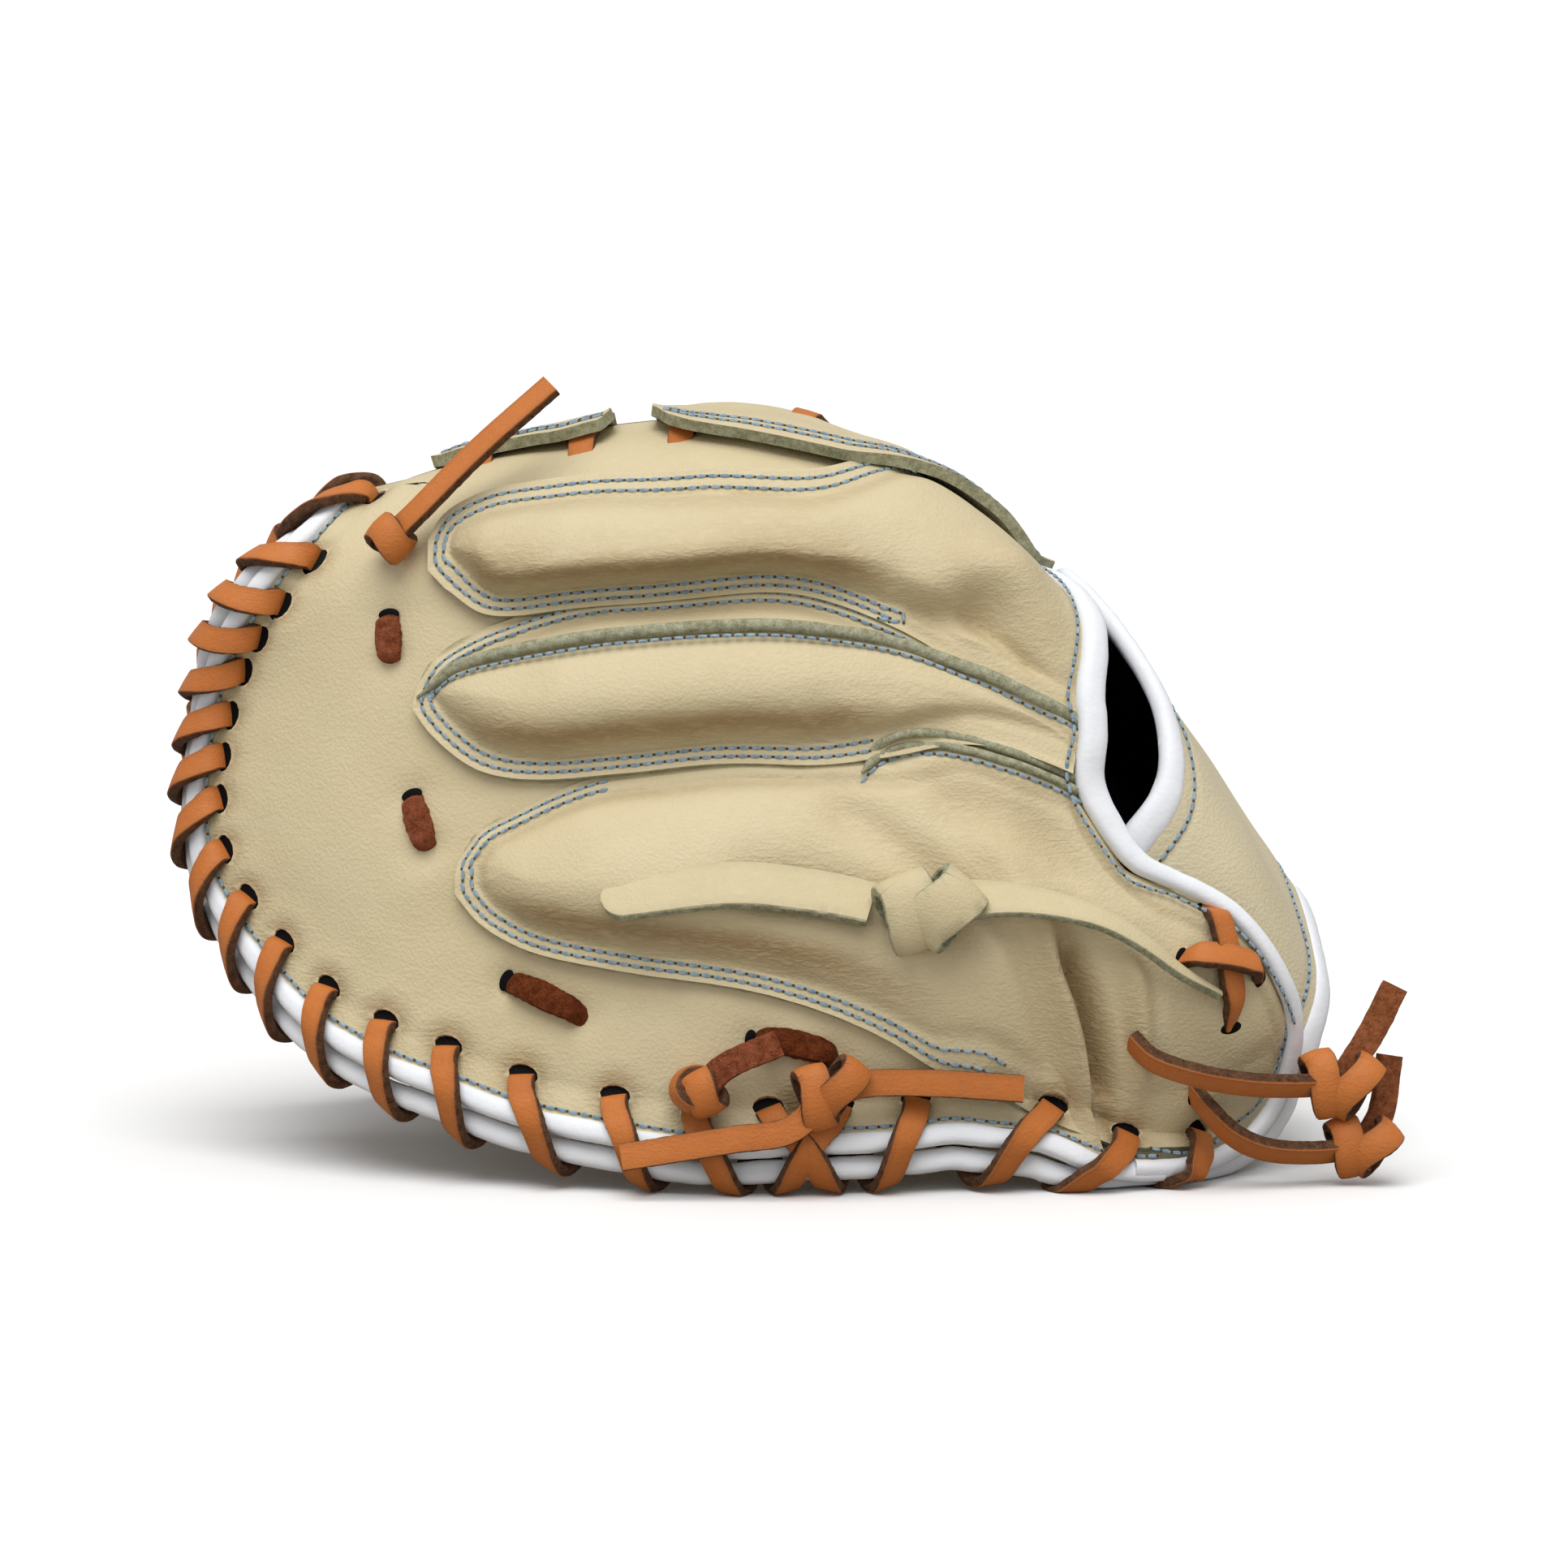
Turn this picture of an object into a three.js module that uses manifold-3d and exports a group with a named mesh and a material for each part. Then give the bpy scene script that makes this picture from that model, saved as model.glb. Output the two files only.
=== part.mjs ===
// Softball catcher's mitt that stands like a tent on the rim of its finger side and of its thumb side.
// Millimetres, +Z up. Fingers point to -X, the wrist to +X, and the back of the fingers faces -Y.
// Every leather piece is laid on one folded sheet: station s runs from fingertips to wrist, t is the
// distance over the ridge (fingers below zero, thumb above), and h is the height over the palm's inside.
import * as THREE from 'three';
import { mergeVertices } from 'three/addons/utils/BufferGeometryUtils.js';
import Module from 'manifold-3d';

const wasm = await Module();
wasm.setup();

// Laces and bindings are pressed flat at this height, where the mitt rests on them
const FLOOR_LEVEL = 2.3;

// The part's origin is the middle of its footprint, on the surface that it rests on
const FRAME_SHIFT = new THREE.Vector3(1.4, -2.25, -FLOOR_LEVEL);

// Driving sizes
const LEATHER = 2.2;
const FLANGE = 7;
const FLANGE_RISE = 46;
const SEAM_GAP = 0.6;
const STACK_GAP = 0.9;
const LACE_WIDTH = 7;
const LACE_THICKNESS = 2;
const HOLE_INSET = 7;
const HOLE_LENGTH = 8.4;
const HOLE_WIDTH = 3.6;
const PALM_OVERHANG = 4.8;
const HEEL_OVERHANG = -0.8;
const PALM_RIM_THICKNESS = 5;
const PALM_HEEL_THICKNESS = 14;
const PALM_POCKET_THICKNESS = 9;
const HEEL_STEP = 15;
const EDGE_BINDING = 5.2;
const KNOT_GAP = 0.3;

// The folded sheet, one row for each station
const FOLD_COLUMNS = { station: 0, crestY: 1, crestZ: 2, radius: 3, frontLean: 4, backLean: 5 };
const FOLD = [
  [-150, 6, 166, 34, 10, 12],
  [-110, 6, 176, 36, 11, 13],
  [-70, 5, 185, 37, 12, 14],
  [-30, 4, 193, 38, 13, 15],
  [10, 3, 193, 38, 14, 16],
  [50, 2, 172, 36, 15, 17],
  [75, 2, 140, 36, 18, 18],
  [95, 2, 104, 38, 22, 22],
  [115, 2, 76, 38, 25, 25],
  [150, 2, 30, 34, 28, 28],
];

// Room for the hand between palm and back
const HAND_ROOM = [
  [-150, 3],
  [-120, 6],
  [-70, 9],
  [-20, 12],
  [20, 16],
  [50, 24],
  [75, 31],
  [100, 36],
  [150, 38],
];

// The rim of the finger side from the web's tip to the wrist, and the hidden inner edge of its panel
const RIM_COLUMNS = { rimS: 0, rimT: 1, innerS: 2, innerT: 3 };
const FINGER_RIM = [
  [-100, -4, -72, -30],
  [-114, -24, -72, -36],
  [-127, -38, -72, -45],
  [-135, -48, -73, -54],
  [-140, -61, -73, -64],
  [-143, -77, -73, -75],
  [-144, -91, -72, -88],
  [-142, -107, -66, -100],
  [-135, -122, -63, -112],
  [-125, -137, -62, -124],
  [-112, -153, -60, -134],
  [-94, -167, -55, -144],
  [-75, -178, -47, -150],
  [-56, -189, -36, -155],
  [-31, -199, -20, -160],
  [-3, -204, 0, -163],
  [29, -193, 25, -163],
  [57, -170, 49, -162],
  [77, -145, 68, -138],
  [105, -107, 92, -103],
  [121, -84.5, 108, -81],
  [134, -62, 122, -58],
  [145, -32, 132, -30],
  [148, 0, 134, 0],
];
const PANEL_END_HOLE = 18;
const RIDGE_GAP = 4;
const RIDGE_ROOM = 2.7;
const EDGE_HEIGHT = 3.15;

// Distance from each lace hole to the next along the rim, starting near the web's tip
const FIRST_HOLE = 6;
const LACE_STEPS = [24, 14, 11, 11, 14, 12, 12, 15, 17, 18, 20, 21, 20, 22, 26, 22, 26, 33, 33, 22, 22];
const THUMB_HOLES = 20;

// Stalls and heels as crossing lines: upper end, lower end, swell of the finger, height of the stack
const STALL_COLUMNS = { upperS: 0, upperT: 1, lowerS: 2, lowerT: 3, swell: 4, stack: 5, bow: 6 };
const INDEX_STALL = [
  [-81, -40, -81, -46, 0, 1, 0],
  [-77, -35, -76, -51, 3, 1, 0],
  [-66, -32, -66, -60, 8, 1, 0],
  [-45, -34, -45, -64, 12, 1, 0],
  [-12, -37, -12, -66, 13, 1, 0],
  [15, -35, 15, -63, 10, 1, 0],
  [36, -17, 36, -58.5, 5, 1, 0],
  [52, -9, 52, -60, 2, 1, 0],
  [62, 8, 65, -54, 0, 1, -1],
  [70, 15, 73, -49.5, 0, 1, -7.5],
];
const MIDDLE_STALL = [
  [-84, -75, -84, -81, 0, 1, 0],
  [-79, -70, -79, -89, 3, 1, 0],
  [-68, -67, -67, -101, 7, 1, 0],
  [-45, -68, -48, -108, 11, 1, 0],
  [-12, -69.5, -12, -110, 12, 1, 0],
  [14, -67, 14, -107.5, 10, 1, 0],
  [34, -62.5, 32, -98, 5, 1, 0],
  [52, -63, 50, -82, 2, 1, 0],
  [73, -51.5, 73, -65, 0, 1, 0],
];
const RING_STALL = [
  [-73, -123, -73, -132, 0, 1, 0],
  [-67, -116, -67, -142, 3, 1, 0],
  [-57, -113, -56, -152, 7, 1, 0],
  [-38, -112.5, -38, -161, 10, 1, 0],
  [-12, -113, -10, -169, 10, 1, 0],
  [12, -110, 12, -172, 8, 1, 0],
  [34, -99.5, 34, -171, 6, 1, 0],
  [46, -87, 50, -167, 4, 1, 0],
  [58, -80, 63, -156, 2, 1.2, 0],
  [73.5, -67, 77, -142.5, 1, 0, 0],
  [83, -71.5, 92, -122, 0, 0, 0],
  [94, -62, 105, -104.5, 0, 0, 0],
  [108, -52.5, 116, -89, 0, 0, 0],
  [119, -51, 125, -75, 0, 0, 0],
  [130, -47, 132, -63, 0, 0, 0],
];
const THUMB_STALL = [
  [-78, 62, -78, 70, 0, 1, 0],
  [-72, 52, -72, 84, 4, 1, 0],
  [-58, 43, -58, 100, 9, 1, 0],
  [-28, 36, -28, 116, 13, 1, 0],
  [5, 31, 8, 130, 13, 1.1, 0],
  [32, 26, 34, 147, 9, 1.2, 0],
  [50, 22, 52, 159, 4, 1, 0],
  [62, 19, 64, 153, 2, 0.2, 0],
  [74, 28, 78, 138, 1, 0, 0],
  [83, 45, 92, 120, 0, 0, 0],
  [94, 56, 105, 102, 0, 0, 0],
  [108, 53, 116, 87, 0, 0, 0],
  [119, 52, 125, 73, 0, 0, 0],
  [130, 46, 132, 60, 0, 0, 0],
];

// Sections of the wrist strap from the finger heel over the wrist to the thumb heel
const STRAP_COLUMNS = { upper: 0, lower: 3, crown: 6 };
const STRAP = [
  [97, -62, 86, 138, -49, 38, 3],
  [104, -58, 104, 147, -44, 49, 5],
  [107, -49, 121, 151, -32, 60, 6],
  [101, -29, 142, 150, -15, 71, 6],
  [93, -3, 155, 149, 4, 75, 5],
  [93, 24, 142, 147, 25, 69, 5],
  [93, 44, 120, 143, 41, 55, 5],
  [96, 56, 94, 137, 50, 38, 3],
];
const STRAP_THICKNESS = 3;

// Free laces, as points of their middle line
const TAIL_WEB = [[-88, -41, 175.5], [-70.6, -38, 192.9], [-51.3, -35, 209.9]];
const HEEL_UPPER = [[96.6, -79.2, 37.2], [109, -82, 34], [126, -78, 30.5], [143, -72, 29.4]];
const TAIL_UPPER = [[161, -65.5, 39], [165.5, -62, 46], [169.5, -60, 53.9]];
const HEEL_LOWER = [[112.2, -72.4, 22.3], [122, -73.5, 14.9], [136, -72, 9.8], [150.5, -69, 10]];
const TAIL_LOWER = [[165.8, -62.3, 19.9], [168.4, -60, 35.7]];

function clamp01(value) {
  return Math.min(1, Math.max(0, value));
}

function smooth(start, end, value) {
  const u = clamp01((value - start) / (end - start));
  return u * u * (3 - 2 * u);
}

// Smooth reading between the rows of a table
function track(table, column, x) {
  const last = table.length - 1;
  let i = 0;
  while (i < last - 1 && x > table[i + 1][0]) {
    i += 1;
  }
  const slope = (k) => {
    const a = Math.max(0, k - 1);
    const b = Math.min(last, k + 1);
    return (table[b][column] - table[a][column]) / (table[b][0] - table[a][0]);
  };
  const width = table[i + 1][0] - table[i][0];
  const u = Math.min(1.5, Math.max(-0.5, (x - table[i][0]) / width));
  const u2 = u * u;
  const u3 = u2 * u;
  return (2 * u3 - 3 * u2 + 1) * table[i][column] + (u3 - 2 * u2 + u) * width * slope(i)
    + (3 * u2 - 2 * u3) * table[i + 1][column] + (u3 - u2) * width * slope(i + 1);
}

function foldAt(s, t) {
  const leanColumn = t < 0 ? FOLD_COLUMNS.frontLean : FOLD_COLUMNS.backLean;
  const lean = THREE.MathUtils.degToRad(track(FOLD, leanColumn, s));
  const radius = track(FOLD, FOLD_COLUMNS.radius, s);
  const crestZ = track(FOLD, FOLD_COLUMNS.crestZ, s);
  const reach = Math.abs(t);
  const bend = radius * (Math.PI / 2 - lean);
  const arc = Math.min(reach, bend);
  const run = Math.max(reach - bend, 0);
  const drop = radius * (1 - Math.cos(arc / radius)) + run * Math.cos(lean);
  const spread = radius * Math.sin(arc / radius) + run * Math.sin(lean);
  const cup = 0.003 * Math.max(-60 - s, 0) ** 2 * smooth(5, 70, reach);
  const flare = 11 * smooth(0, 75, 75 - (crestZ - drop)) * smooth(150, 110, s);
  const side = Math.sign(t) * (spread - cup + flare);
  return new THREE.Vector3(s, track(FOLD, FOLD_COLUMNS.crestY, s) + side, crestZ - drop);
}

function normalAt(s, t) {
  const step = 0.5;
  const alongS = foldAt(s + step, t).sub(foldAt(s - step, t));
  const alongT = foldAt(s, t + step).sub(foldAt(s, t - step));
  return alongS.cross(alongT).normalize();
}

function place(s, t, h) {
  return foldAt(s, t).addScaledVector(normalAt(s, t), h);
}

// The t at which the sheet reaches height z, on the finger side (-1) or the thumb side (1)
function acrossAt(s, z, side) {
  const leanColumn = side < 0 ? FOLD_COLUMNS.frontLean : FOLD_COLUMNS.backLean;
  const lean = THREE.MathUtils.degToRad(track(FOLD, leanColumn, s));
  const radius = track(FOLD, FOLD_COLUMNS.radius, s);
  const turn = Math.PI / 2 - lean;
  const drop = Math.max(track(FOLD, FOLD_COLUMNS.crestZ, s) - z, 0);
  const bendDrop = radius * (1 - Math.cos(turn));
  if (drop < bendDrop) {
    return side * radius * Math.acos(THREE.MathUtils.clamp(1 - drop / radius, -1, 1));
  }
  return side * (radius * turn + (drop - bendDrop) / Math.cos(lean));
}

// Height of the lower rim over the floor at each station
const LOWEST_TIP_ROW = 6;
const RIM_HEIGHT = FINGER_RIM.slice(LOWEST_TIP_ROW).map((row) => {
  const s = row[RIM_COLUMNS.rimS];
  return [s, foldAt(s, row[RIM_COLUMNS.rimT]).z];
});

// How far the fingertips' rim reaches at each distance from the ridge
const TIP_ROWS = 16;
const TIP_REACH = FINGER_RIM.slice(0, TIP_ROWS).map((row) => {
  return [-row[RIM_COLUMNS.rimT], row[RIM_COLUMNS.rimS]];
});

// How far the palm's edge stands out past the back's edge
function overhangAt(s) {
  return HEEL_OVERHANG + (PALM_OVERHANG - HEEL_OVERHANG) * smooth(103, 80, s);
}

// Height of the back leather's outside over the palm's inside
function backHeight(s, t) {
  const reach = Math.abs(t);
  const lower = Math.abs(acrossAt(s, track(RIM_HEIGHT, 1, s), t < 0 ? -1 : 1)) - reach;
  const left = s < -20 ? s - track(TIP_REACH, 1, reach) : lower;
  const inward = Math.min(lower, left) - FLANGE;
  const fall = Math.sin(clamp01(inward / FLANGE_RISE) * Math.PI / 2) ** 0.8;
  const keep = smooth(8, 42, reach);
  const share = keep + (1 - keep) * smooth(62, 84, s);
  return EDGE_HEIGHT + (track(HAND_ROOM, 1, s) * share + RIDGE_ROOM * (1 - share)) * fall;
}

// A closed body from points and faces, turned so that its faces point out
function closedBody(points, faces) {
  let volume = 0;
  for (const [a, b, c] of faces) {
    volume += points[a].dot(points[b].clone().cross(points[c]));
  }
  const positions = points.flatMap((p) => [p.x, p.y, p.z]);
  const index = faces.flatMap(([a, b, c]) => (volume < 0 ? [a, c, b] : [a, b, c]));
  const geometry = new THREE.BufferGeometry();
  geometry.setAttribute('position', new THREE.Float32BufferAttribute(positions, 3));
  geometry.setIndex(index);
  return geometry;
}

// A slab over a grid of rows and columns, from its lower points to its upper points
function slab(rows, columns, lowerPoint, upperPoint) {
  const points = [];
  for (const pointAt of [lowerPoint, upperPoint]) {
    for (let i = 0; i <= rows; i += 1) {
      for (let j = 0; j <= columns; j += 1) {
        points.push(pointAt(i / rows, j / columns));
      }
    }
  }
  const layer = (rows + 1) * (columns + 1);
  const id = (side, i, j) => side * layer + i * (columns + 1) + j;
  const faces = [];
  const quad = (a, b, c, d) => {
    const straight = points[a].distanceTo(points[c]) <= points[b].distanceTo(points[d]);
    faces.push(straight ? [a, b, c] : [a, b, d], straight ? [a, c, d] : [b, c, d]);
  };
  for (let i = 0; i < rows; i += 1) {
    for (let j = 0; j < columns; j += 1) {
      quad(id(1, i, j), id(1, i + 1, j), id(1, i + 1, j + 1), id(1, i, j + 1));
      quad(id(0, i, j), id(0, i, j + 1), id(0, i + 1, j + 1), id(0, i + 1, j));
    }
  }
  for (let i = 0; i < rows; i += 1) {
    quad(id(0, i, 0), id(0, i + 1, 0), id(1, i + 1, 0), id(1, i, 0));
    quad(id(1, i, columns), id(1, i + 1, columns), id(0, i + 1, columns), id(0, i, columns));
  }
  for (let j = 0; j < columns; j += 1) {
    quad(id(1, 0, j), id(1, 0, j + 1), id(0, 0, j + 1), id(0, 0, j));
    quad(id(0, rows, j), id(0, rows, j + 1), id(1, rows, j + 1), id(1, rows, j));
  }
  return closedBody(points, faces);
}

// A bar through a list of sections, each a ring of points, with flat ends
function bar(sections) {
  const sides = sections[0].length;
  const last = sections.length - 1;
  const faces = [];
  for (let i = 0; i < last; i += 1) {
    for (let j = 0; j < sides; j += 1) {
      const a = i * sides + j;
      const b = i * sides + ((j + 1) % sides);
      faces.push([a, b, b + sides], [a, b + sides, a + sides]);
    }
  }
  for (let j = 1; j < sides - 1; j += 1) {
    faces.push([0, j + 1, j], [last * sides, last * sides + j, last * sides + j + 1]);
  }
  return closedBody(sections.flat(), faces);
}

function toSolid(geometry) {
  const bare = mergeVertices(geometry, 1e-4);
  const vertProperties = new Float32Array(bare.getAttribute('position').array);
  const triVerts = new Uint32Array(bare.getIndex().array);
  return new wasm.Manifold(new wasm.Mesh({ numProp: 3, vertProperties, triVerts }));
}

function toGeometry(solid) {
  const mesh = solid.getMesh();
  const geometry = new THREE.BufferGeometry();
  geometry.setAttribute('position', new THREE.Float32BufferAttribute(mesh.vertProperties, 3));
  geometry.setIndex(Array.from(mesh.triVerts));
  return geometry;
}

// The rim as a curve of (s, t), on the finger side (-1) or the thumb side (1)
function rimCurve(side) {
  const points = FINGER_RIM.map((row) => {
    const s = row[RIM_COLUMNS.rimS];
    const t = row[RIM_COLUMNS.rimT];
    const z = foldAt(s, t).z;
    return new THREE.Vector3(s, side < 0 ? t : acrossAt(s, z, 1), 0);
  });
  return new THREE.CatmullRomCurve3(points, false, 'centripetal');
}

function innerCurve(side) {
  const points = FINGER_RIM.map((row) => {
    return new THREE.Vector3(row[RIM_COLUMNS.innerS], -side * row[RIM_COLUMNS.innerT], 0);
  });
  return new THREE.CatmullRomCurve3(points, false, 'centripetal');
}

const RIM = { [-1]: rimCurve(-1), 1: rimCurve(1) };
const INNER = { [-1]: innerCurve(-1), 1: innerCurve(1) };

// Real length along the rim, as pairs of curve value and distance
function rimLengths(side) {
  const samples = 400;
  const list = [[0, 0]];
  let before = foldAt(RIM[side].getPoint(0).x, RIM[side].getPoint(0).y);
  let distance = 0;
  for (let i = 1; i <= samples; i += 1) {
    const spot = RIM[side].getPoint(i / samples);
    const now = foldAt(spot.x, spot.y);
    distance += now.distanceTo(before);
    before = now;
    list.push([i / samples, distance]);
  }
  return list;
}

const RIM_LENGTHS = { [-1]: rimLengths(-1), 1: rimLengths(1) };
const RIM_TOTAL = { [-1]: RIM_LENGTHS[-1].at(-1)[1], 1: RIM_LENGTHS[1].at(-1)[1] };

function rimValue(side, distance) {
  const list = RIM_LENGTHS[side];
  let i = 0;
  while (i < list.length - 2 && list[i + 1][1] < distance) {
    i += 1;
  }
  const share = (distance - list[i][1]) / (list[i + 1][1] - list[i][1]);
  return THREE.MathUtils.clamp(list[i][0] + share * (list[i + 1][0] - list[i][0]), 0, 1);
}

// A frame on the rim: tangent towards the wrist, out across the edge, up away from the palm
function rimFrame(side, distance) {
  const value = rimValue(side, distance);
  const spot = RIM[side].getPoint(value);
  const origin = foldAt(spot.x, spot.y);
  const ahead = RIM[side].getPoint(Math.min(1, value + 0.004));
  const behind = RIM[side].getPoint(Math.max(0, value - 0.004));
  const tangent = foldAt(ahead.x, ahead.y).sub(foldAt(behind.x, behind.y)).normalize();
  const up = normalAt(spot.x, spot.y);
  const out = tangent.clone().cross(up).normalize().multiplyScalar(-side);
  return { origin, tangent, out, up, s: spot.x, t: spot.y, value };
}

// The lace holes of a side, as distances along its rim
function holeDistances(side) {
  const list = [FIRST_HOLE];
  for (const step of LACE_STEPS) {
    list.push(list.at(-1) + step);
  }
  return side < 0 ? list : list.slice(0, THUMB_HOLES);
}

// Stations along the rim: one between each pair of holes, then even steps to the wrist
function rimStations(side) {
  const holes = holeDistances(side);
  const list = [0];
  for (let i = 1; i < holes.length; i += 1) {
    list.push((holes[i - 1] + holes[i]) / 2);
  }
  const rest = RIM_TOTAL[side] - list.at(-1);
  const steps = Math.round(rest / HEEL_STEP);
  for (let i = 1; i <= steps; i += 1) {
    list.push(list.at(-1) + rest / steps);
  }
  return list;
}

const STATIONS = { [-1]: rimStations(-1), 1: rimStations(1) };

function holeCutter(side, distance) {
  const sections = [-16, 14].map((up) => {
    const corners = [[-1, -1], [1, -1], [1, 1], [-1, 1]];
    return corners.map(([along, across]) => {
      const frame = rimFrame(side, distance);
      return frame.origin
        .addScaledVector(frame.tangent, along * HOLE_LENGTH / 2)
        .addScaledVector(frame.out, across * HOLE_WIDTH / 2 - HOLE_INSET)
        .addScaledVector(frame.up, up);
    });
  });
  return toSolid(bar(sections));
}

const HOLES = { [-1]: holeDistances(-1), 1: holeDistances(1) };
const CUTTERS = {
  [-1]: HOLES[-1].map((distance) => holeCutter(-1, distance)),
  1: HOLES[1].map((distance) => holeCutter(1, distance)),
};

function cutHoles(solid, side, first, last) {
  let result = solid;
  for (const cutter of CUTTERS[side].slice(first, last)) {
    result = result.subtract(cutter);
  }
  return result;
}

// Triangles between two closed rings of points, given as lists of point numbers
function stitchRings(outer, inner) {
  const faces = [];
  let i = 0;
  let j = 0;
  while (i < outer.length || j < inner.length) {
    const a = outer[i % outer.length];
    const b = inner[j % inner.length];
    const outerIsBehind = (i + 1) / outer.length <= (j + 1) / inner.length;
    if (j >= inner.length || (i < outer.length && outerIsBehind)) {
      faces.push([a, outer[(i + 1) % outer.length], b]);
      i += 1;
    } else {
      faces.push([a, inner[(j + 1) % inner.length], b]);
      j += 1;
    }
  }
  return faces;
}

// Palm: one padded sheet from rim to rim, in rings about its middle, the inner ones with half the points
const PALM_RINGS = [0.92, 0.78, 0.6, 0.36, 0.14];
const HALVED_RING = 3;
const PALM_MIDDLE = { s: 5, t: 0 };

function palmThickness(ring) {
  const rise = smooth(0.05, 0.26, 1 - ring);
  const dip = smooth(0.25, 0.7, 1 - ring);
  const full = PALM_HEEL_THICKNESS + (PALM_POCKET_THICKNESS - PALM_HEEL_THICKNESS) * dip;
  return PALM_RIM_THICKNESS + (full - PALM_RIM_THICKNESS) * rise;
}

function palmSheet() {
  const front = STATIONS[-1].map((distance) => rimFrame(-1, distance));
  const rear = STATIONS[1].map((distance) => rimFrame(1, distance)).reverse().slice(1);
  const stations = [...front, ...rear];
  const points = [];
  const faces = [];
  const layers = [0, 1].map((depth) => {
    const addPoint = (point) => points.push(point) - 1;
    const rings = [stations.map((frame) => {
      const edge = frame.origin.clone().addScaledVector(frame.out, overhangAt(frame.s));
      return addPoint(edge.addScaledVector(frame.up, -depth * PALM_RIM_THICKNESS));
    })];
    PALM_RINGS.forEach((ring, k) => {
      const kept = k < HALVED_RING ? stations : stations.filter((frame, i) => i % 2 === 0);
      rings.push(kept.map((frame) => {
        const s = PALM_MIDDLE.s + (frame.s - PALM_MIDDLE.s) * ring;
        const t = PALM_MIDDLE.t + (frame.t - PALM_MIDDLE.t) * ring;
        return addPoint(place(s, t, -depth * palmThickness(ring)));
      }));
    });
    rings.push([addPoint(place(PALM_MIDDLE.s, PALM_MIDDLE.t, -depth * PALM_POCKET_THICKNESS))]);
    return rings;
  });
  for (const rings of layers) {
    for (let k = 0; k < rings.length - 1; k += 1) {
      const strip = stitchRings(rings[k], rings[k + 1]).filter(([a, b, c]) => a !== b && b !== c && a !== c);
      faces.push(...(rings === layers[0] ? strip : strip.map(([a, b, c]) => [a, c, b])));
    }
  }
  faces.push(...stitchRings(layers[1][0], layers[0][0]));
  return closedBody(points, faces);
}

// A stall or heel between its two edges, hollow below its swell
function stallSheet(table, rows, columns) {
  const last = table.length - 1;
  const edgeCurve = (sColumn, tColumn) => {
    const points = table.map((row) => new THREE.Vector3(row[sColumn], row[tColumn], 0));
    return new THREE.CatmullRomCurve3(points, false, 'centripetal');
  };
  const upperEdge = edgeCurve(STALL_COLUMNS.upperS, STALL_COLUMNS.upperT);
  const lowerEdge = edgeCurve(STALL_COLUMNS.lowerS, STALL_COLUMNS.lowerT);
  const heights = (u) => {
    const i = Math.min(last - 1, Math.floor(u * last));
    const share = u * last - i;
    const mix = (column) => table[i][column] * (1 - share) + table[i + 1][column] * share;
    return [mix(STALL_COLUMNS.swell), mix(STALL_COLUMNS.stack), mix(STALL_COLUMNS.bow)];
  };
  const pointAt = (top) => (u, v) => {
    const upper = upperEdge.getPoint(u);
    const lower = lowerEdge.getPoint(u);
    const [swell, stack, bow] = heights(u);
    const arch = Math.sin(Math.PI * v);
    const s = upper.x + (lower.x - upper.x) * v + bow * arch;
    const t = upper.y + (lower.y - upper.y) * v;
    const rise = swell * arch ** 0.7 + stack * (STACK_GAP + LEATHER);
    const floor = backHeight(s, t) + rise - LEATHER;
    return place(s, t, Math.max(floor, SEAM_GAP) + (top ? LEATHER : 0));
  };
  return slab(rows, columns, pointAt(false), pointAt(true));
}

// The outer panel of a side: along the ridge first, then round the rim to its narrow end
function panelSheet(side, ridgeStart, ridgeInner) {
  const count = PANEL_END_HOLE + 1;
  const pointAt = (top) => (u, v) => {
    const value = rimValue(side, STATIONS[side][Math.round(u * count)]);
    const rim = RIM[side].getPoint(value);
    const inner = INNER[side].getPoint(value);
    const s = rim.x + (inner.x - rim.x) * v;
    const t = rim.y + (inner.y - rim.y) * v;
    return place(s, t, Math.max(backHeight(s, t) - LEATHER, SEAM_GAP) + (top ? LEATHER : 0));
  };
  const crescent = toSolid(slab(count, 3, pointAt(false), pointAt(true)));
  const ridgeAt = (top) => (u, v) => {
    const s = -101 + u * (ridgeStart + 101);
    const inner = ridgeInner + 3 * Math.cos(u * Math.PI);
    const t = side * (RIDGE_GAP + (inner - RIDGE_GAP) * v);
    return place(s, t, Math.max(backHeight(s, t) - LEATHER, SEAM_GAP) + (top ? LEATHER : 0));
  };
  const ridge = toSolid(slab(7, 2, ridgeAt(false), ridgeAt(true)));
  return crescent.add(ridge);
}

function pressed(point) {
  return point.setZ(Math.max(point.z, FLOOR_LEVEL));
}

// A binding: a tube of white leather along an edge, given by its middle and its two half sizes
function bindingTube(frames, halfOut, halfUp) {
  const shape = [[-1, -0.9], [0.4, -1], [1, -0.1], [0.5, 0.9], [-0.9, 1]];
  const sections = frames.map(({ centre, out, up }) => {
    return shape.map(([a, b]) => {
      return pressed(centre.clone().addScaledVector(out, a * halfOut).addScaledVector(up, b * halfUp));
    });
  });
  return bar(sections);
}

function rimBinding(side, from, to, { middleOut, middleUp, halfOut, halfUp }) {
  const inner = STATIONS[side].filter((distance) => distance > from + 4 && distance < to - 4);
  const frames = [from, ...inner, to].map((distance) => {
    const frame = rimFrame(side, distance);
    const centre = frame.origin.clone();
    centre.addScaledVector(frame.out, middleOut(frame.s)).addScaledVector(frame.up, middleUp);
    return { centre, out: frame.out, up: frame.up };
  });
  return bindingTube(frames, halfOut, halfUp);
}

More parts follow.
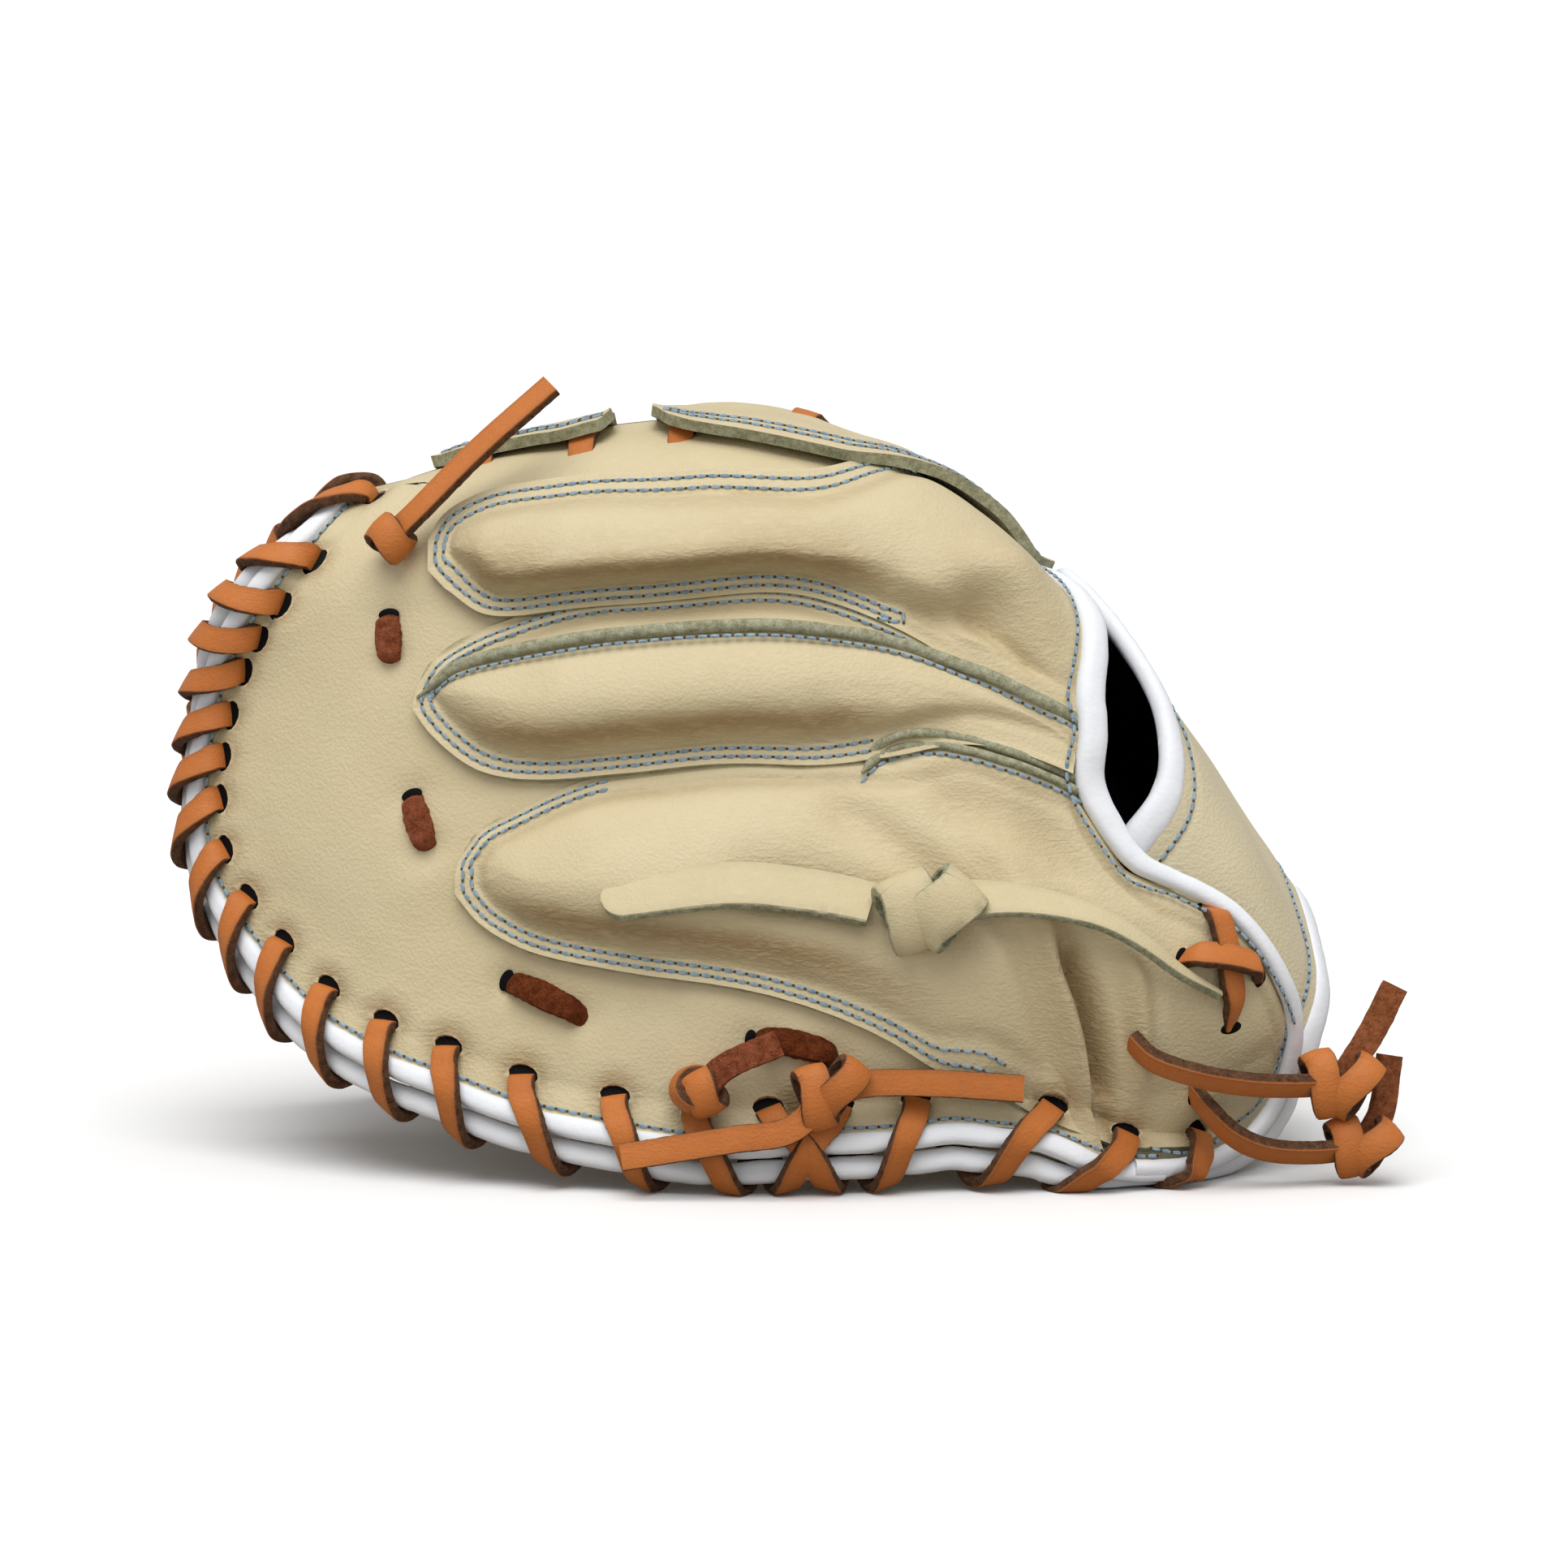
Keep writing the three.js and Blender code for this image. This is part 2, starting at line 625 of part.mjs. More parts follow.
// The (s, t) points of the line that ends a stall
function endLine(row, steps) {
  const list = [];
  for (let i = 0; i <= steps; i += 1) {
    const v = i / steps;
    const s = row[STALL_COLUMNS.upperS] * (1 - v) + row[STALL_COLUMNS.lowerS] * v;
    const t = row[STALL_COLUMNS.upperT] * (1 - v) + row[STALL_COLUMNS.lowerT] * v;
    list.push([s + row[STALL_COLUMNS.bow] * Math.sin(Math.PI * v), t]);
  }
  return list;
}

// A binding along the free edge of a side's leather, given as (s, t) from the ridge downwards
function edgeBinding(path, side, steps) {
  const curve = new THREE.CatmullRomCurve3(path.map(([s, t]) => new THREE.Vector3(s, t, 0)));
  const frames = [];
  for (let i = 0; i <= steps; i += 1) {
    const spot = curve.getPoint(i / steps);
    const ahead = curve.getPoint(Math.min(1, i / steps + 0.01));
    const behind = curve.getPoint(Math.max(0, i / steps - 0.01));
    const onBack = (p, lift) => place(p.x, p.y, backHeight(p.x, p.y) + lift);
    const tangent = onBack(ahead, 0).sub(onBack(behind, 0)).normalize();
    const up = normalAt(spot.x, spot.y);
    const out = tangent.clone().cross(up).normalize().multiplyScalar(side);
    const centre = onBack(spot, 0.4).addScaledVector(out, EDGE_BINDING / 2 + 1.7);
    frames.push({ centre, out, up: out.clone().cross(tangent).normalize() });
  }
  return bindingTube(frames, EDGE_BINDING / 2, EDGE_BINDING / 2);
}

// A flat lace along a path, with its width along a given direction at each point
function laceBar(stops, width = LACE_WIDTH, thickness = LACE_THICKNESS) {
  const last = stops.length - 1;
  const sections = stops.map(({ spot, wide }, i) => {
    const along = stops[Math.min(last, i + 1)].spot.clone().sub(stops[Math.max(0, i - 1)].spot);
    along.normalize();
    const face = along.clone().cross(wide).normalize();
    const flat = face.clone().cross(along).normalize();
    const corners = [[-1, -1], [1, -1], [1, 1], [-1, 1]];
    return corners.map(([a, b]) => {
      const corner = spot.clone().addScaledVector(flat, a * width / 2);
      corner.addScaledVector(face, b * thickness / 2);
      return pressed(corner);
    });
  });
  return bar(sections);
}

// The lace round the rim: down the back, round both bindings, up through the next hole
const WRAP_COLUMNS = { out: 0, up: 1, share: 2, palm: 3 };
const WRAP = [
  [-HOLE_INSET, 7.8, 0, 0],
  [6.4, 7.5, 0.36, 0],
  [13.5, 0, 0.5, 1],
  [13.5, -5.2, 0.58, 1],
  [9, -8.9, 0.7, 1],
  [-HOLE_INSET, -8.9, 1, 0],
];

function rimLace(side) {
  const holes = HOLES[side];
  const stops = [];
  for (let i = 0; i < holes.length - 1; i += 1) {
    const pitch = holes[i + 1] - holes[i];
    for (const row of WRAP) {
      const frame = rimFrame(side, holes[i] + pitch * row[WRAP_COLUMNS.share]);
      const drawn = row[WRAP_COLUMNS.palm] * (overhangAt(frame.s) - PALM_OVERHANG);
      const spot = frame.origin.clone().addScaledVector(frame.out, row[WRAP_COLUMNS.out] + drawn);
      spot.addScaledVector(frame.up, row[WRAP_COLUMNS.up]);
      stops.push({ spot, wide: frame.tangent });
    }
  }
  return laceBar(stops);
}

// A lace that lies on the back between two (s, t) spots, lifted at its ends and in its middle
function surfaceLace([fromS, fromT], [toS, toT], { start, end, arch = 0, width = LACE_WIDTH, steps = 6 }) {
  const stops = [];
  for (let i = 0; i <= steps; i += 1) {
    const u = i / steps;
    const s = fromS + (toS - fromS) * u;
    const t = fromT + (toT - fromT) * u;
    const height = backHeight(s, t) + start + (end - start) * u + arch * Math.sin(Math.PI * u) ** 0.6;
    const ahead = foldAt(s + (toS - fromS) * 0.01, t + (toT - fromT) * 0.01).sub(foldAt(s, t));
    stops.push({ spot: place(s, t, height), wide: normalAt(s, t).cross(ahead).normalize() });
  }
  return laceBar(stops, width);
}

// A knot as a rounded lump
function knotLump(centre, sizes, turn = [0, 0, 0]) {
  const lump = new THREE.SphereGeometry(0.5, 8, 6);
  lump.deleteAttribute('normal');
  lump.deleteAttribute('uv');
  lump.scale(...sizes);
  lump.rotateX(turn[0]);
  lump.rotateY(turn[1]);
  lump.rotateZ(turn[2]);
  lump.translate(...centre);
  return mergeVertices(lump, 1e-3);
}

// A free lace through a few points, smoothed, with its width turned to a given direction
function freeLace(points, wide, steps, width = LACE_WIDTH) {
  const curve = new THREE.CatmullRomCurve3(points.map((p) => new THREE.Vector3(...p)), false, 'centripetal');
  const stops = curve.getSpacedPoints(steps).map((spot) => ({ spot, wide: new THREE.Vector3(...wide) }));
  return laceBar(stops, width);
}

function strapSheet() {
  const corner = (column) => {
    const points = STRAP.map((row) => new THREE.Vector3(...row.slice(column, column + 3)));
    return new THREE.CatmullRomCurve3(points, false, 'centripetal');
  };
  const upper = corner(STRAP_COLUMNS.upper);
  const lower = corner(STRAP_COLUMNS.lower);
  const surface = (u, v) => {
    const crown = track(STRAP.map((row, i) => [i, row[STRAP_COLUMNS.crown]]), 1, u * (STRAP.length - 1));
    const spot = upper.getPoint(u).lerp(lower.getPoint(u), v);
    const ahead = upper.getPoint(Math.min(1, u + 0.01)).sub(upper.getPoint(Math.max(0, u - 0.01)));
    const across = lower.getPoint(u).sub(upper.getPoint(u));
    const face = across.cross(ahead).normalize();
    return { spot: spot.addScaledVector(face, crown * Math.sin(Math.PI * v)), face };
  };
  const pointAt = (top) => (u, v) => {
    const { spot, face } = surface(u, v);
    return spot.addScaledVector(face, top ? 0 : -STRAP_THICKNESS);
  };
  return { sheet: slab(14, 4, pointAt(false), pointAt(true)), surface };
}

// A binding along the upper (0) or lower (1) edge of the strap
function strapBinding(edge) {
  const frames = [];
  for (let i = 0; i <= 16; i += 1) {
    const here = strap.surface(i / 16, edge);
    const other = strap.surface(i / 16, 0.5);
    const out = here.spot.clone().sub(other.spot).normalize();
    const up = here.face.clone();
    const centre = here.spot.clone().addScaledVector(out, EDGE_BINDING / 2 + 0.5);
    centre.addScaledVector(up, -STRAP_THICKNESS / 2);
    frames.push({ centre, out, up });
  }
  return bindingTube(frames, EDGE_BINDING / 2, EDGE_BINDING / 2);
}

const CREAM = { color: 0xcfc4a3, roughness: 0.62 };
const WHITE = { color: 0xe6e8ea, roughness: 0.42 };
const LACE = { color: 0xb9652f, roughness: 0.7 };
const ROUGH_LACE = { color: 0x552409, roughness: 0.9 };
const LINING = { color: 0x0b0b0c, roughness: 0.95 };

const mitt = new THREE.Group();

function addPiece(name, geometry, { color, roughness }) {
  const material = new THREE.MeshStandardMaterial({ color, roughness, metalness: 0 });
  const piece = new THREE.Mesh(geometry, material);
  piece.name = name;
  mitt.add(piece);
}

// Palm and web: one sheet, cut where the web is laced in along the ridge
function webCutter(grow) {
  const pointAt = (top) => (u, v) => {
    const s = -125 + u * (137 + grow);
    const t = (v - 0.5) * 2 * (19 + grow);
    return place(s, t, top ? 6 : -22);
  };
  return toSolid(slab(6, 3, pointAt(false), pointAt(true)));
}

const palmWhole = cutHoles(cutHoles(toSolid(palmSheet()), -1, 0, 22), 1, 0, THUMB_HOLES);
addPiece('palm_pad', toGeometry(palmWhole.subtract(webCutter(0.4))), CREAM);
addPiece('web_panel', toGeometry(palmWhole.intersect(webCutter(0))), CREAM);

// Black lining on the palm's inside, where the hand lies
const liningAt = (top) => (u, v) => {
  const s = -48 + u * 170;
  const reach = 56 - 20 * u * u;
  return place(s, (v - 0.5) * 2 * reach, top ? 3 : 1.9);
};
addPiece('hand_lining', slab(10, 6, liningAt(false), liningAt(true)), LINING);

const fingerPanel = cutHoles(panelSheet(-1, 34, 38), -1, 0, 22);
addPiece('back_panel', toGeometry(fingerPanel), CREAM);
const thumbPanel = cutHoles(panelSheet(1, 34, 34), 1, 0, THUMB_HOLES);
addPiece('thumb_panel', toGeometry(thumbPanel), CREAM);

addPiece('index_stall', stallSheet(INDEX_STALL, 13, 5), CREAM);
addPiece('middle_stall', stallSheet(MIDDLE_STALL, 11, 5), CREAM);
addPiece('ring_stall', toGeometry(cutHoles(toSolid(stallSheet(RING_STALL, 17, 5)), -1, 18, 22)), CREAM);
addPiece('thumb_stall', toGeometry(cutHoles(toSolid(stallSheet(THUMB_STALL, 20, 10)), 1, 18, 20)), CREAM);

const strap = strapSheet();
addPiece('wrist_strap', strap.sheet, CREAM);

// White bindings on the back's rim, the thumb's rim and the palm's rim
const BACK_BINDING_END = 60;
const PALM_BINDING_END = 30;
const PALM_BINDING_START = 9;
const backEdge = { middleOut: () => 3.4, middleUp: 2.9, halfOut: 2.6, halfUp: 2.0 };
const palmEdge = { middleOut: (s) => overhangAt(s) + 3.9, middleUp: -2.7, halfOut: 3.0, halfUp: 2.6 };
for (const [side, name] of [[-1, 'finger'], [1, 'thumb']]) {
  const backEnd = RIM_TOTAL[side] - BACK_BINDING_END;
  addPiece(`${name}_back_binding`, rimBinding(side, 2, backEnd, backEdge), WHITE);
  const palmEnd = RIM_TOTAL[side] - PALM_BINDING_END;
  addPiece(`${name}_palm_binding`, rimBinding(side, PALM_BINDING_START, palmEnd, palmEdge), WHITE);
}

const OPENING_ROW = 9;
const indexEnd = endLine(INDEX_STALL.at(-1), 6);
const fingerEdge = [...indexEnd, ...RING_STALL.slice(OPENING_ROW).map((row) => row.slice(0, 2))];
addPiece('opening_binding', edgeBinding(fingerEdge, -1, 26), WHITE);
const thumbEdge = THUMB_STALL.slice(OPENING_ROW).map((row) => row.slice(0, 2));
addPiece('thumb_edge_binding', edgeBinding(thumbEdge, 1, 12), WHITE);
addPiece('strap_upper_binding', strapBinding(0), WHITE);
addPiece('strap_lower_binding', strapBinding(1), WHITE);

// Rawhide lace round both rims
addPiece('finger_rim_lace', rimLace(-1), LACE);
addPiece('thumb_rim_lace', rimLace(1), LACE);

// Short rough laces that tie the back to the palm, and the crossed lace on the heel
const TIES = [
  [[-92, -53], [-91, -66], 1.4],
  [[-85, -103], [-81, -118], 1.4],
  [[-61, -158], [-41, -172], 1.9],
  [[2, -182], [23, -180], 2.7],
];
TIES.forEach(([from, to, lift], i) => {
  addPiece(`tie_lace_${i + 1}`, surfaceLace(from, to, { start: lift, end: lift, arch: 0.7 }), ROUGH_LACE);
});
const crossLower = surfaceLace([101.5, -60.3], [110.6, -77.1], { start: 1.9, end: 2.1 });
addPiece('heel_cross_lower', crossLower, LACE);
const crossUpper = surfaceLace([97.8, -80], [113.2, -62.8], { start: 3, end: 2.9, arch: 4.3 });
addPiece('heel_cross_upper', crossUpper, LACE);

// Web: two tabs folded over the ridge and the laces that draw them down
const TAB_TIP = [
  [-84, 9, -7],
  [-60, 10, -9],
  [-36, 10, -8],
];
const TAB_BASE = [
  [-23, 9, -6],
  [0, 10, -9],
  [20, 11, -10],
  [38, 12, -13],
  [52, 12, -9],
  [61, 11, -2],
];
function tabSheet(table, rows) {
  const from = table[0][0];
  const to = table.at(-1)[0];
  const pointAt = (top) => (u, v) => {
    const s = from + (to - from) * u;
    const far = track(table, 1, s);
    const near = track(table, 2, s);
    const t = far + (near - far) * v;
    const lift = 1.1 + 3 * smooth(22, 40, s) + (top ? LEATHER : 0);
    return place(s, t, backHeight(s, t) + lift);
  };
  return slab(rows, 4, pointAt(false), pointAt(true));
}
addPiece('web_tab_tip', tabSheet(TAB_TIP, 4), CREAM);
addPiece('web_tab_base', tabSheet(TAB_BASE, 9), CREAM);
const WEB_LACE_STATIONS = [-71, -43, -16, 10];
WEB_LACE_STATIONS.forEach((s, i) => {
  const lift = { start: 1.4, end: 1.4, arch: 4.4, steps: 8 };
  addPiece(`web_lace_${i + 1}`, surfaceLace([s, -25], [s + 5, 24], lift), LACE);
});

// Knots and free ends
const onBack = (s, t, lift) => place(s, t, backHeight(s, t) + lift).toArray();
const KNOTS = {
  web_knot: { centre: onBack(-90.7, -37.9, 6.4), sizes: [13, 9, 11], turn: [0.9, 0, 0] },
  small_knot: { centre: onBack(-10.4, -196, 10), sizes: [12, 9, 12] },
  rim_knot: { centre: onBack(20.1, -191, 11), sizes: [15, 10, 19] },
  heel_knot_upper: { centre: [154.5, -68, 29.4], sizes: [22, 14, 18] },
  heel_knot_lower: { centre: [160.5, -66, 12.5], sizes: [19, 13, 17] },
};
for (const [name, { centre, sizes, turn }] of Object.entries(KNOTS)) {
  addPiece(name, knotLump(centre, sizes, turn), LACE);
}

// A free lace from or to a knot, cut back to a small gap from it
function knottedLace(points, wide, steps, knotName) {
  const { centre, sizes, turn } = KNOTS[knotName];
  const room = knotLump(centre, sizes.map((size) => size + 2 * KNOT_GAP), turn);
  return toGeometry(toSolid(freeLace(points, wide, steps)).subtract(toSolid(room)));
}

const RIM_LIE = [0, 0.2, 1];
const webTail = [KNOTS.web_knot.centre, ...TAIL_WEB];
addPiece('web_knot_tail', knottedLace(webTail, [0.6, 0, -0.6], 6, 'web_knot'), LACE);
const smallTail = [KNOTS.small_knot.centre, onBack(-4.6, -190.5, 9), onBack(8.7, -183, 6.6)];
addPiece('small_knot_tail', knottedLace(smallTail, RIM_LIE, 3, 'small_knot'), ROUGH_LACE);
const rimTail = [
  KNOTS.rim_knot.centre,
  onBack(11.5, -202, 9),
  onBack(-2.9, -206.5, 8.3),
  onBack(-30.5, -208.5, 8.3),
];
addPiece('rim_knot_tail', knottedLace(rimTail, RIM_LIE, 6, 'rim_knot'), LACE);
const rimBand = [
  KNOTS.rim_knot.centre,
  onBack(29.5, -184, 8.4),
  onBack(48.4, -171.2, 8.6),
  onBack(69.8, -147.7, 8.2),
];
addPiece('rim_knot_band', knottedLace(rimBand, RIM_LIE, 6, 'rim_knot'), LACE);

const upperKnot = KNOTS.heel_knot_upper.centre;
const upperLace = [...HEEL_UPPER, upperKnot];
addPiece('heel_lace_upper', knottedLace(upperLace, RIM_LIE, 7, 'heel_knot_upper'), LACE);
const upperTail = [upperKnot, ...TAIL_UPPER];
addPiece('heel_tail_upper', knottedLace(upperTail, [1, 0, -0.4], 4, 'heel_knot_upper'), LACE);
const lowerKnot = KNOTS.heel_knot_lower.centre;
const lowerLace = [...HEEL_LOWER, lowerKnot];
addPiece('heel_lace_lower', knottedLace(lowerLace, RIM_LIE, 7, 'heel_knot_lower'), LACE);
const lowerTail = [lowerKnot, ...TAIL_LOWER];
addPiece('heel_tail_lower', knottedLace(lowerTail, [1, 0.4, 0], 3, 'heel_knot_lower'), LACE);

// Soft pull strap: free end, knot, and the tapered end sewn to the heel
addPiece('pull_strap_end', surfaceLace([-34, -144.5], [28.5, -141], {
  start: 14, end: 11.4, arch: 1.5, width: 12.5,
}), CREAM);
addPiece('pull_strap_knot', knotLump(onBack(42, -136, 14.5), [26, 11, 20]), CREAM);
addPiece('pull_strap_root', surfaceLace([56, -123], [102.5, -80.5], {
  start: 7.5, end: 2.4, arch: 1, width: 5,
}), CREAM);

mitt.position.copy(FRAME_SHIFT);

export default mitt;
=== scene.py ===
# Softball catcher's mitt: cream leather, white bindings and rawhide laces, standing on its laced rim.
# Tables and shapes are in millimetres on the mitt's folded sheet: s runs from fingertips to wrist, t is
# the distance over the ridge (finger side below zero) and h is the height over the palm's inside.
import math

import bpy
import numpy as np
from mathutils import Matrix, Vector, noise


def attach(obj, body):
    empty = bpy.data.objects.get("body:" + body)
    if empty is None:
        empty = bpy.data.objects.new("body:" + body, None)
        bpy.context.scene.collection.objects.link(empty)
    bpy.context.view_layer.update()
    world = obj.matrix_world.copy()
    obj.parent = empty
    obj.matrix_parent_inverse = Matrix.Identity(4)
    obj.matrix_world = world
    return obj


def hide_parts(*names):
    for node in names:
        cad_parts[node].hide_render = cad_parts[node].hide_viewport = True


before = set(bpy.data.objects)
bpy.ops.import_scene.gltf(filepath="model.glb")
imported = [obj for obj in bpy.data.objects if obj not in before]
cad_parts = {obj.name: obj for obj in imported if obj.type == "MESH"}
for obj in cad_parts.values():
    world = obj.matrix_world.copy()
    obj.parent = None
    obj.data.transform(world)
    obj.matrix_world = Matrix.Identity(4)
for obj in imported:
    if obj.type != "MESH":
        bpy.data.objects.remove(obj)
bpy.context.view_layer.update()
bpy.ops.object.select_all(action="DESELECT")

MM = 0.001
FINGER, THUMB = -1, 1

# Driving sizes
FRAME_SHIFT = np.array([1.4, -2.25, -2.3])
LEATHER = 2.2
FLANGE = 7.0
FLANGE_RISE = 46.0
STACK_GAP = 0.9
LACE_WIDTH = 7.0
LACE_THICKNESS = 2.4
LACE_ROLL = 0.32
FLOOR_SOFT = 1.2
HOLE_INSET = 7.0
PALM_OVERHANG = 4.8
HEEL_OVERHANG = -0.8
PALM_RIM_THICKNESS = 5.0
PALM_HEEL_THICKNESS = 14.0
PALM_POCKET_THICKNESS = 9.0
RIDGE_ROOM = 2.7
EDGE_HEIGHT = 3.15
RIDGE_GAP = 4.0
EDGE_BINDING = 5.2
BINDING_REACH = 4.0
BINDING_RISE = 2.9
BINDING_SHIFT = 2.9
STRAP_THICKNESS = 3.0
ROLL_SIDES = 14
SMOOTH_ANGLE = 40
STALL_FLANGE = 5.5
LEAST_BULGE = 4.0

# Where the opening's binding runs on round the heel, in the shared frame, and the middle that it rounds
HEEL_ROUND = [
    (143.4, -56, 36), (141, -53, 25), (135, -53, 14.5), (124, -62, 9), (110, -72, 7.6), (99, -76.3, 8.6),
]
HEEL_MIDDLE = (108, -60, 40)

# Stitches
STITCH_LENGTH = 2.65
STITCH_PITCH = 3.15
STITCH_RADIUS = 0.5
STITCH_ROWS = (1.9, 4.1)

# The folded sheet: station, ridge place, ridge height, bend radius, lean of the two sides in degrees
FOLD = np.array([
    (-150, 6, 166, 34, 10, 12),
    (-110, 6, 176, 36, 11, 13),
    (-70, 5, 185, 37, 12, 14),
    (-30, 4, 193, 38, 13, 15),
    (10, 3, 193, 38, 14, 16),
    (50, 2, 172, 36, 15, 17),
    (75, 2, 140, 36, 18, 18),
    (95, 2, 104, 38, 22, 22),
    (115, 2, 76, 38, 25, 25),
    (150, 2, 30, 34, 28, 28),
], float)
FOLD_Y, FOLD_Z, FOLD_RADIUS, FOLD_FRONT, FOLD_BACK = 1, 2, 3, 4, 5

# Room for the hand at each station
HAND_ROOM = np.array([
    (-150, 3), (-120, 6), (-70, 9), (-20, 12), (20, 16), (50, 24), (75, 31), (100, 36), (150, 38),
], float)

# Rim of the finger side and the hidden inner edge of its panel: rim s, rim t, inner s, inner t
RIM_ROWS = np.array([
    (-100, -4, -72, -30),
    (-114, -24, -72, -36),
    (-127, -38, -72, -45),
    (-135, -48, -73, -54),
    (-140, -61, -73, -64),
    (-143, -77, -73, -75),
    (-144, -91, -72, -88),
    (-142, -107, -66, -100),
    (-135, -122, -63, -112),
    (-125, -137, -62, -124),
    (-112, -153, -60, -134),
    (-94, -167, -55, -144),
    (-75, -178, -47, -150),
    (-56, -189, -36, -155),
    (-31, -199, -20, -160),
    (-3, -204, 0, -163),
    (29, -193, 25, -163),
    (57, -170, 49, -162),
    (77, -145, 68, -138),
    (105, -107, 92, -103),
    (121, -84.5, 108, -81),
    (134, -62, 122, -58),
    (145, -32, 132, -30),
    (148, 0, 134, 0),
], float)
LOWEST_TIP_ROW = 6
TIP_ROWS = 16

# Distance from each lace hole to the next along the rim
FIRST_HOLE = 6.0
LACE_STEPS = (24, 14, 11, 11, 14, 12, 12, 15, 17, 18, 20, 21, 20, 22, 26, 22, 26, 33, 33, 22, 22)
THUMB_HOLES = 20
LAST_LEANING_RIGHT = 17

# Stalls: upper s, upper t, lower s, lower t, swell, stack, bow
INDEX_STALL = np.array([
    (-81, -40, -81, -46, 0, 1, 0),
    (-77, -35, -76, -51, 3, 1, 0),
    (-66, -32, -66, -60, 8, 1, 0),
    (-45, -34, -45, -64, 12, 1, 0),
    (-12, -37, -12, -66, 13, 1, 0),
    (15, -35, 15, -63, 10, 1, 0),
    (36, -17, 36, -62.5, 5, 1, 0),
    (52, -9, 52, -62.2, 2, 1, 0),
    (62, 8, 65, -56, 0, 1, -1),
    (70, 15, 73, -50.5, 0, 1, -7.5),
], float)
MIDDLE_STALL = np.array([
    (-84, -75, -84, -81, 0, 1, 0),
    (-79, -68, -79, -89, 3, 1, 0),
    (-68, -63.5, -67, -101, 7, 1, 0),
    (-45, -61.5, -48, -108, 11, 1, 0),
    (-12, -63, -12, -110, 12, 1, 0),
    (14, -60.5, 14, -107.5, 10, 1, 0),
    (34, -59.5, 32, -98, 5, 1, 0),
    (52, -57.5, 50, -83, 2, 1, 0),
    (73, -49.5, 71.5, -66, 0, 1, 0),
], float)
RING_STALL = np.array([
    (-73, -123, -73, -132, 0, 1, 0),
    (-67, -116, -67, -142, 3, 1, 0),
    (-57, -113, -56, -152, 7, 1, 0),
    (-38, -109.5, -38, -161, 10, 1, 0),
    (-12, -109, -10, -169, 10, 1, 0),
    (12, -106, 12, -172, 8, 1, 0),
    (34, -96, 34, -171, 6, 1, 0),
    (46, -84.5, 50, -167, 4, 1, 0),
    (58, -77.5, 63, -156, 2, 1.2, 0),
    (73.5, -65, 77, -142.5, 1, 0, 0),
    (83, -71.5, 92, -122, 0, 0, 0),
    (94, -62, 105, -104.5, 0, 0, 0),
    (108, -52.5, 116, -89, 0, 0, 0),
    (117.5, -51.5, 123, -76, 0, 0, 0),
    (125, -50, 128.5, -64, 0, 0, 0),
], float)
THUMB_STALL = np.array([
    (-78, 62, -78, 70, 0, 1, 0),
    (-72, 52, -72, 84, 4, 1, 0),
    (-58, 43, -58, 100, 9, 1, 0),
    (-28, 36, -28, 116, 13, 1, 0),
    (5, 31, 8, 130, 13, 1.1, 0),
    (32, 26, 34, 147, 9, 1.2, 0),
    (50, 22, 52, 159, 4, 1, 0),
    (62, 19, 64, 153, 2, 0.2, 0),
    (74, 28, 78, 138, 1, 0, 0),
    (83, 45, 92, 120, 0, 0, 0),
    (94, 56, 105, 102, 0, 0, 0),
    (108, 53, 116, 87, 0, 0, 0),
    (119, 52, 125, 73, 0, 0, 0),
    (130, 46, 132, 60, 0, 0, 0),
], float)
SWELL, STACK, BOW = 4, 5, 6
OPENING_ROW = 9

# Wrist strap: upper edge x y z, lower edge x y z, crown
STRAP = np.array([
    (102, -62, 87, 143.5, -50, 33, 3),
    (113, -57, 103, 149, -44, 43, 4),
    (113, -46, 121, 152, -34, 52, 2),
    (103, -29, 140, 151, -15, 64, 0),
    (90, -3, 154, 149, 4, 72, 1),
    (93, 24, 142, 147, 25, 69, 5),
    (93, 44, 120, 143, 41, 55, 5),
    (96, 56, 94, 137, 50, 38, 3),
], float)

# Raised seams on the finger side, as s and t of their line
WELT_UPPER = [
    (-83, -78), (-74, -72.8), (-62, -72), (-45, -73.5), (-24, -74.6), (-4, -75), (15, -72.5), (34, -66.9),
    (52, -61.8), (62, -57.5), (73, -49.7),
]
WELT_LOWER = [(27, -103), (30, -98), (36, -91.5), (45.4, -85), (58.3, -78), (73.8, -65.5)]

# Stitch rows that turn: round the index stall's end, and round the corner of the heel
INDEX_SEAM_END = [(32, -58.6), (34.4, -57.9), (36.4, -58.4), (36.2, -59.6), (34.4, -60.9), (32, -61.7)]
HEEL_CORNER = [
    (124.4, -53.0), (126.0, -55.6), (128.4, -57.6), (128.8, -61), (127.0, -68), (122.4, -78.4),
    (117.6, -88.2), (112.0, -96.6), (105.4, -104.4),
]

# Short laces that tie the back: s and t of both ends, and their lift
TIES = [
    (-92, -53, -91, -66, 1.2),
    (-85, -103, -81, -118, 1.2),
    (-61, -158, -41, -172, 1.5),
    (2, -182, 23, -180, 1.7),
]

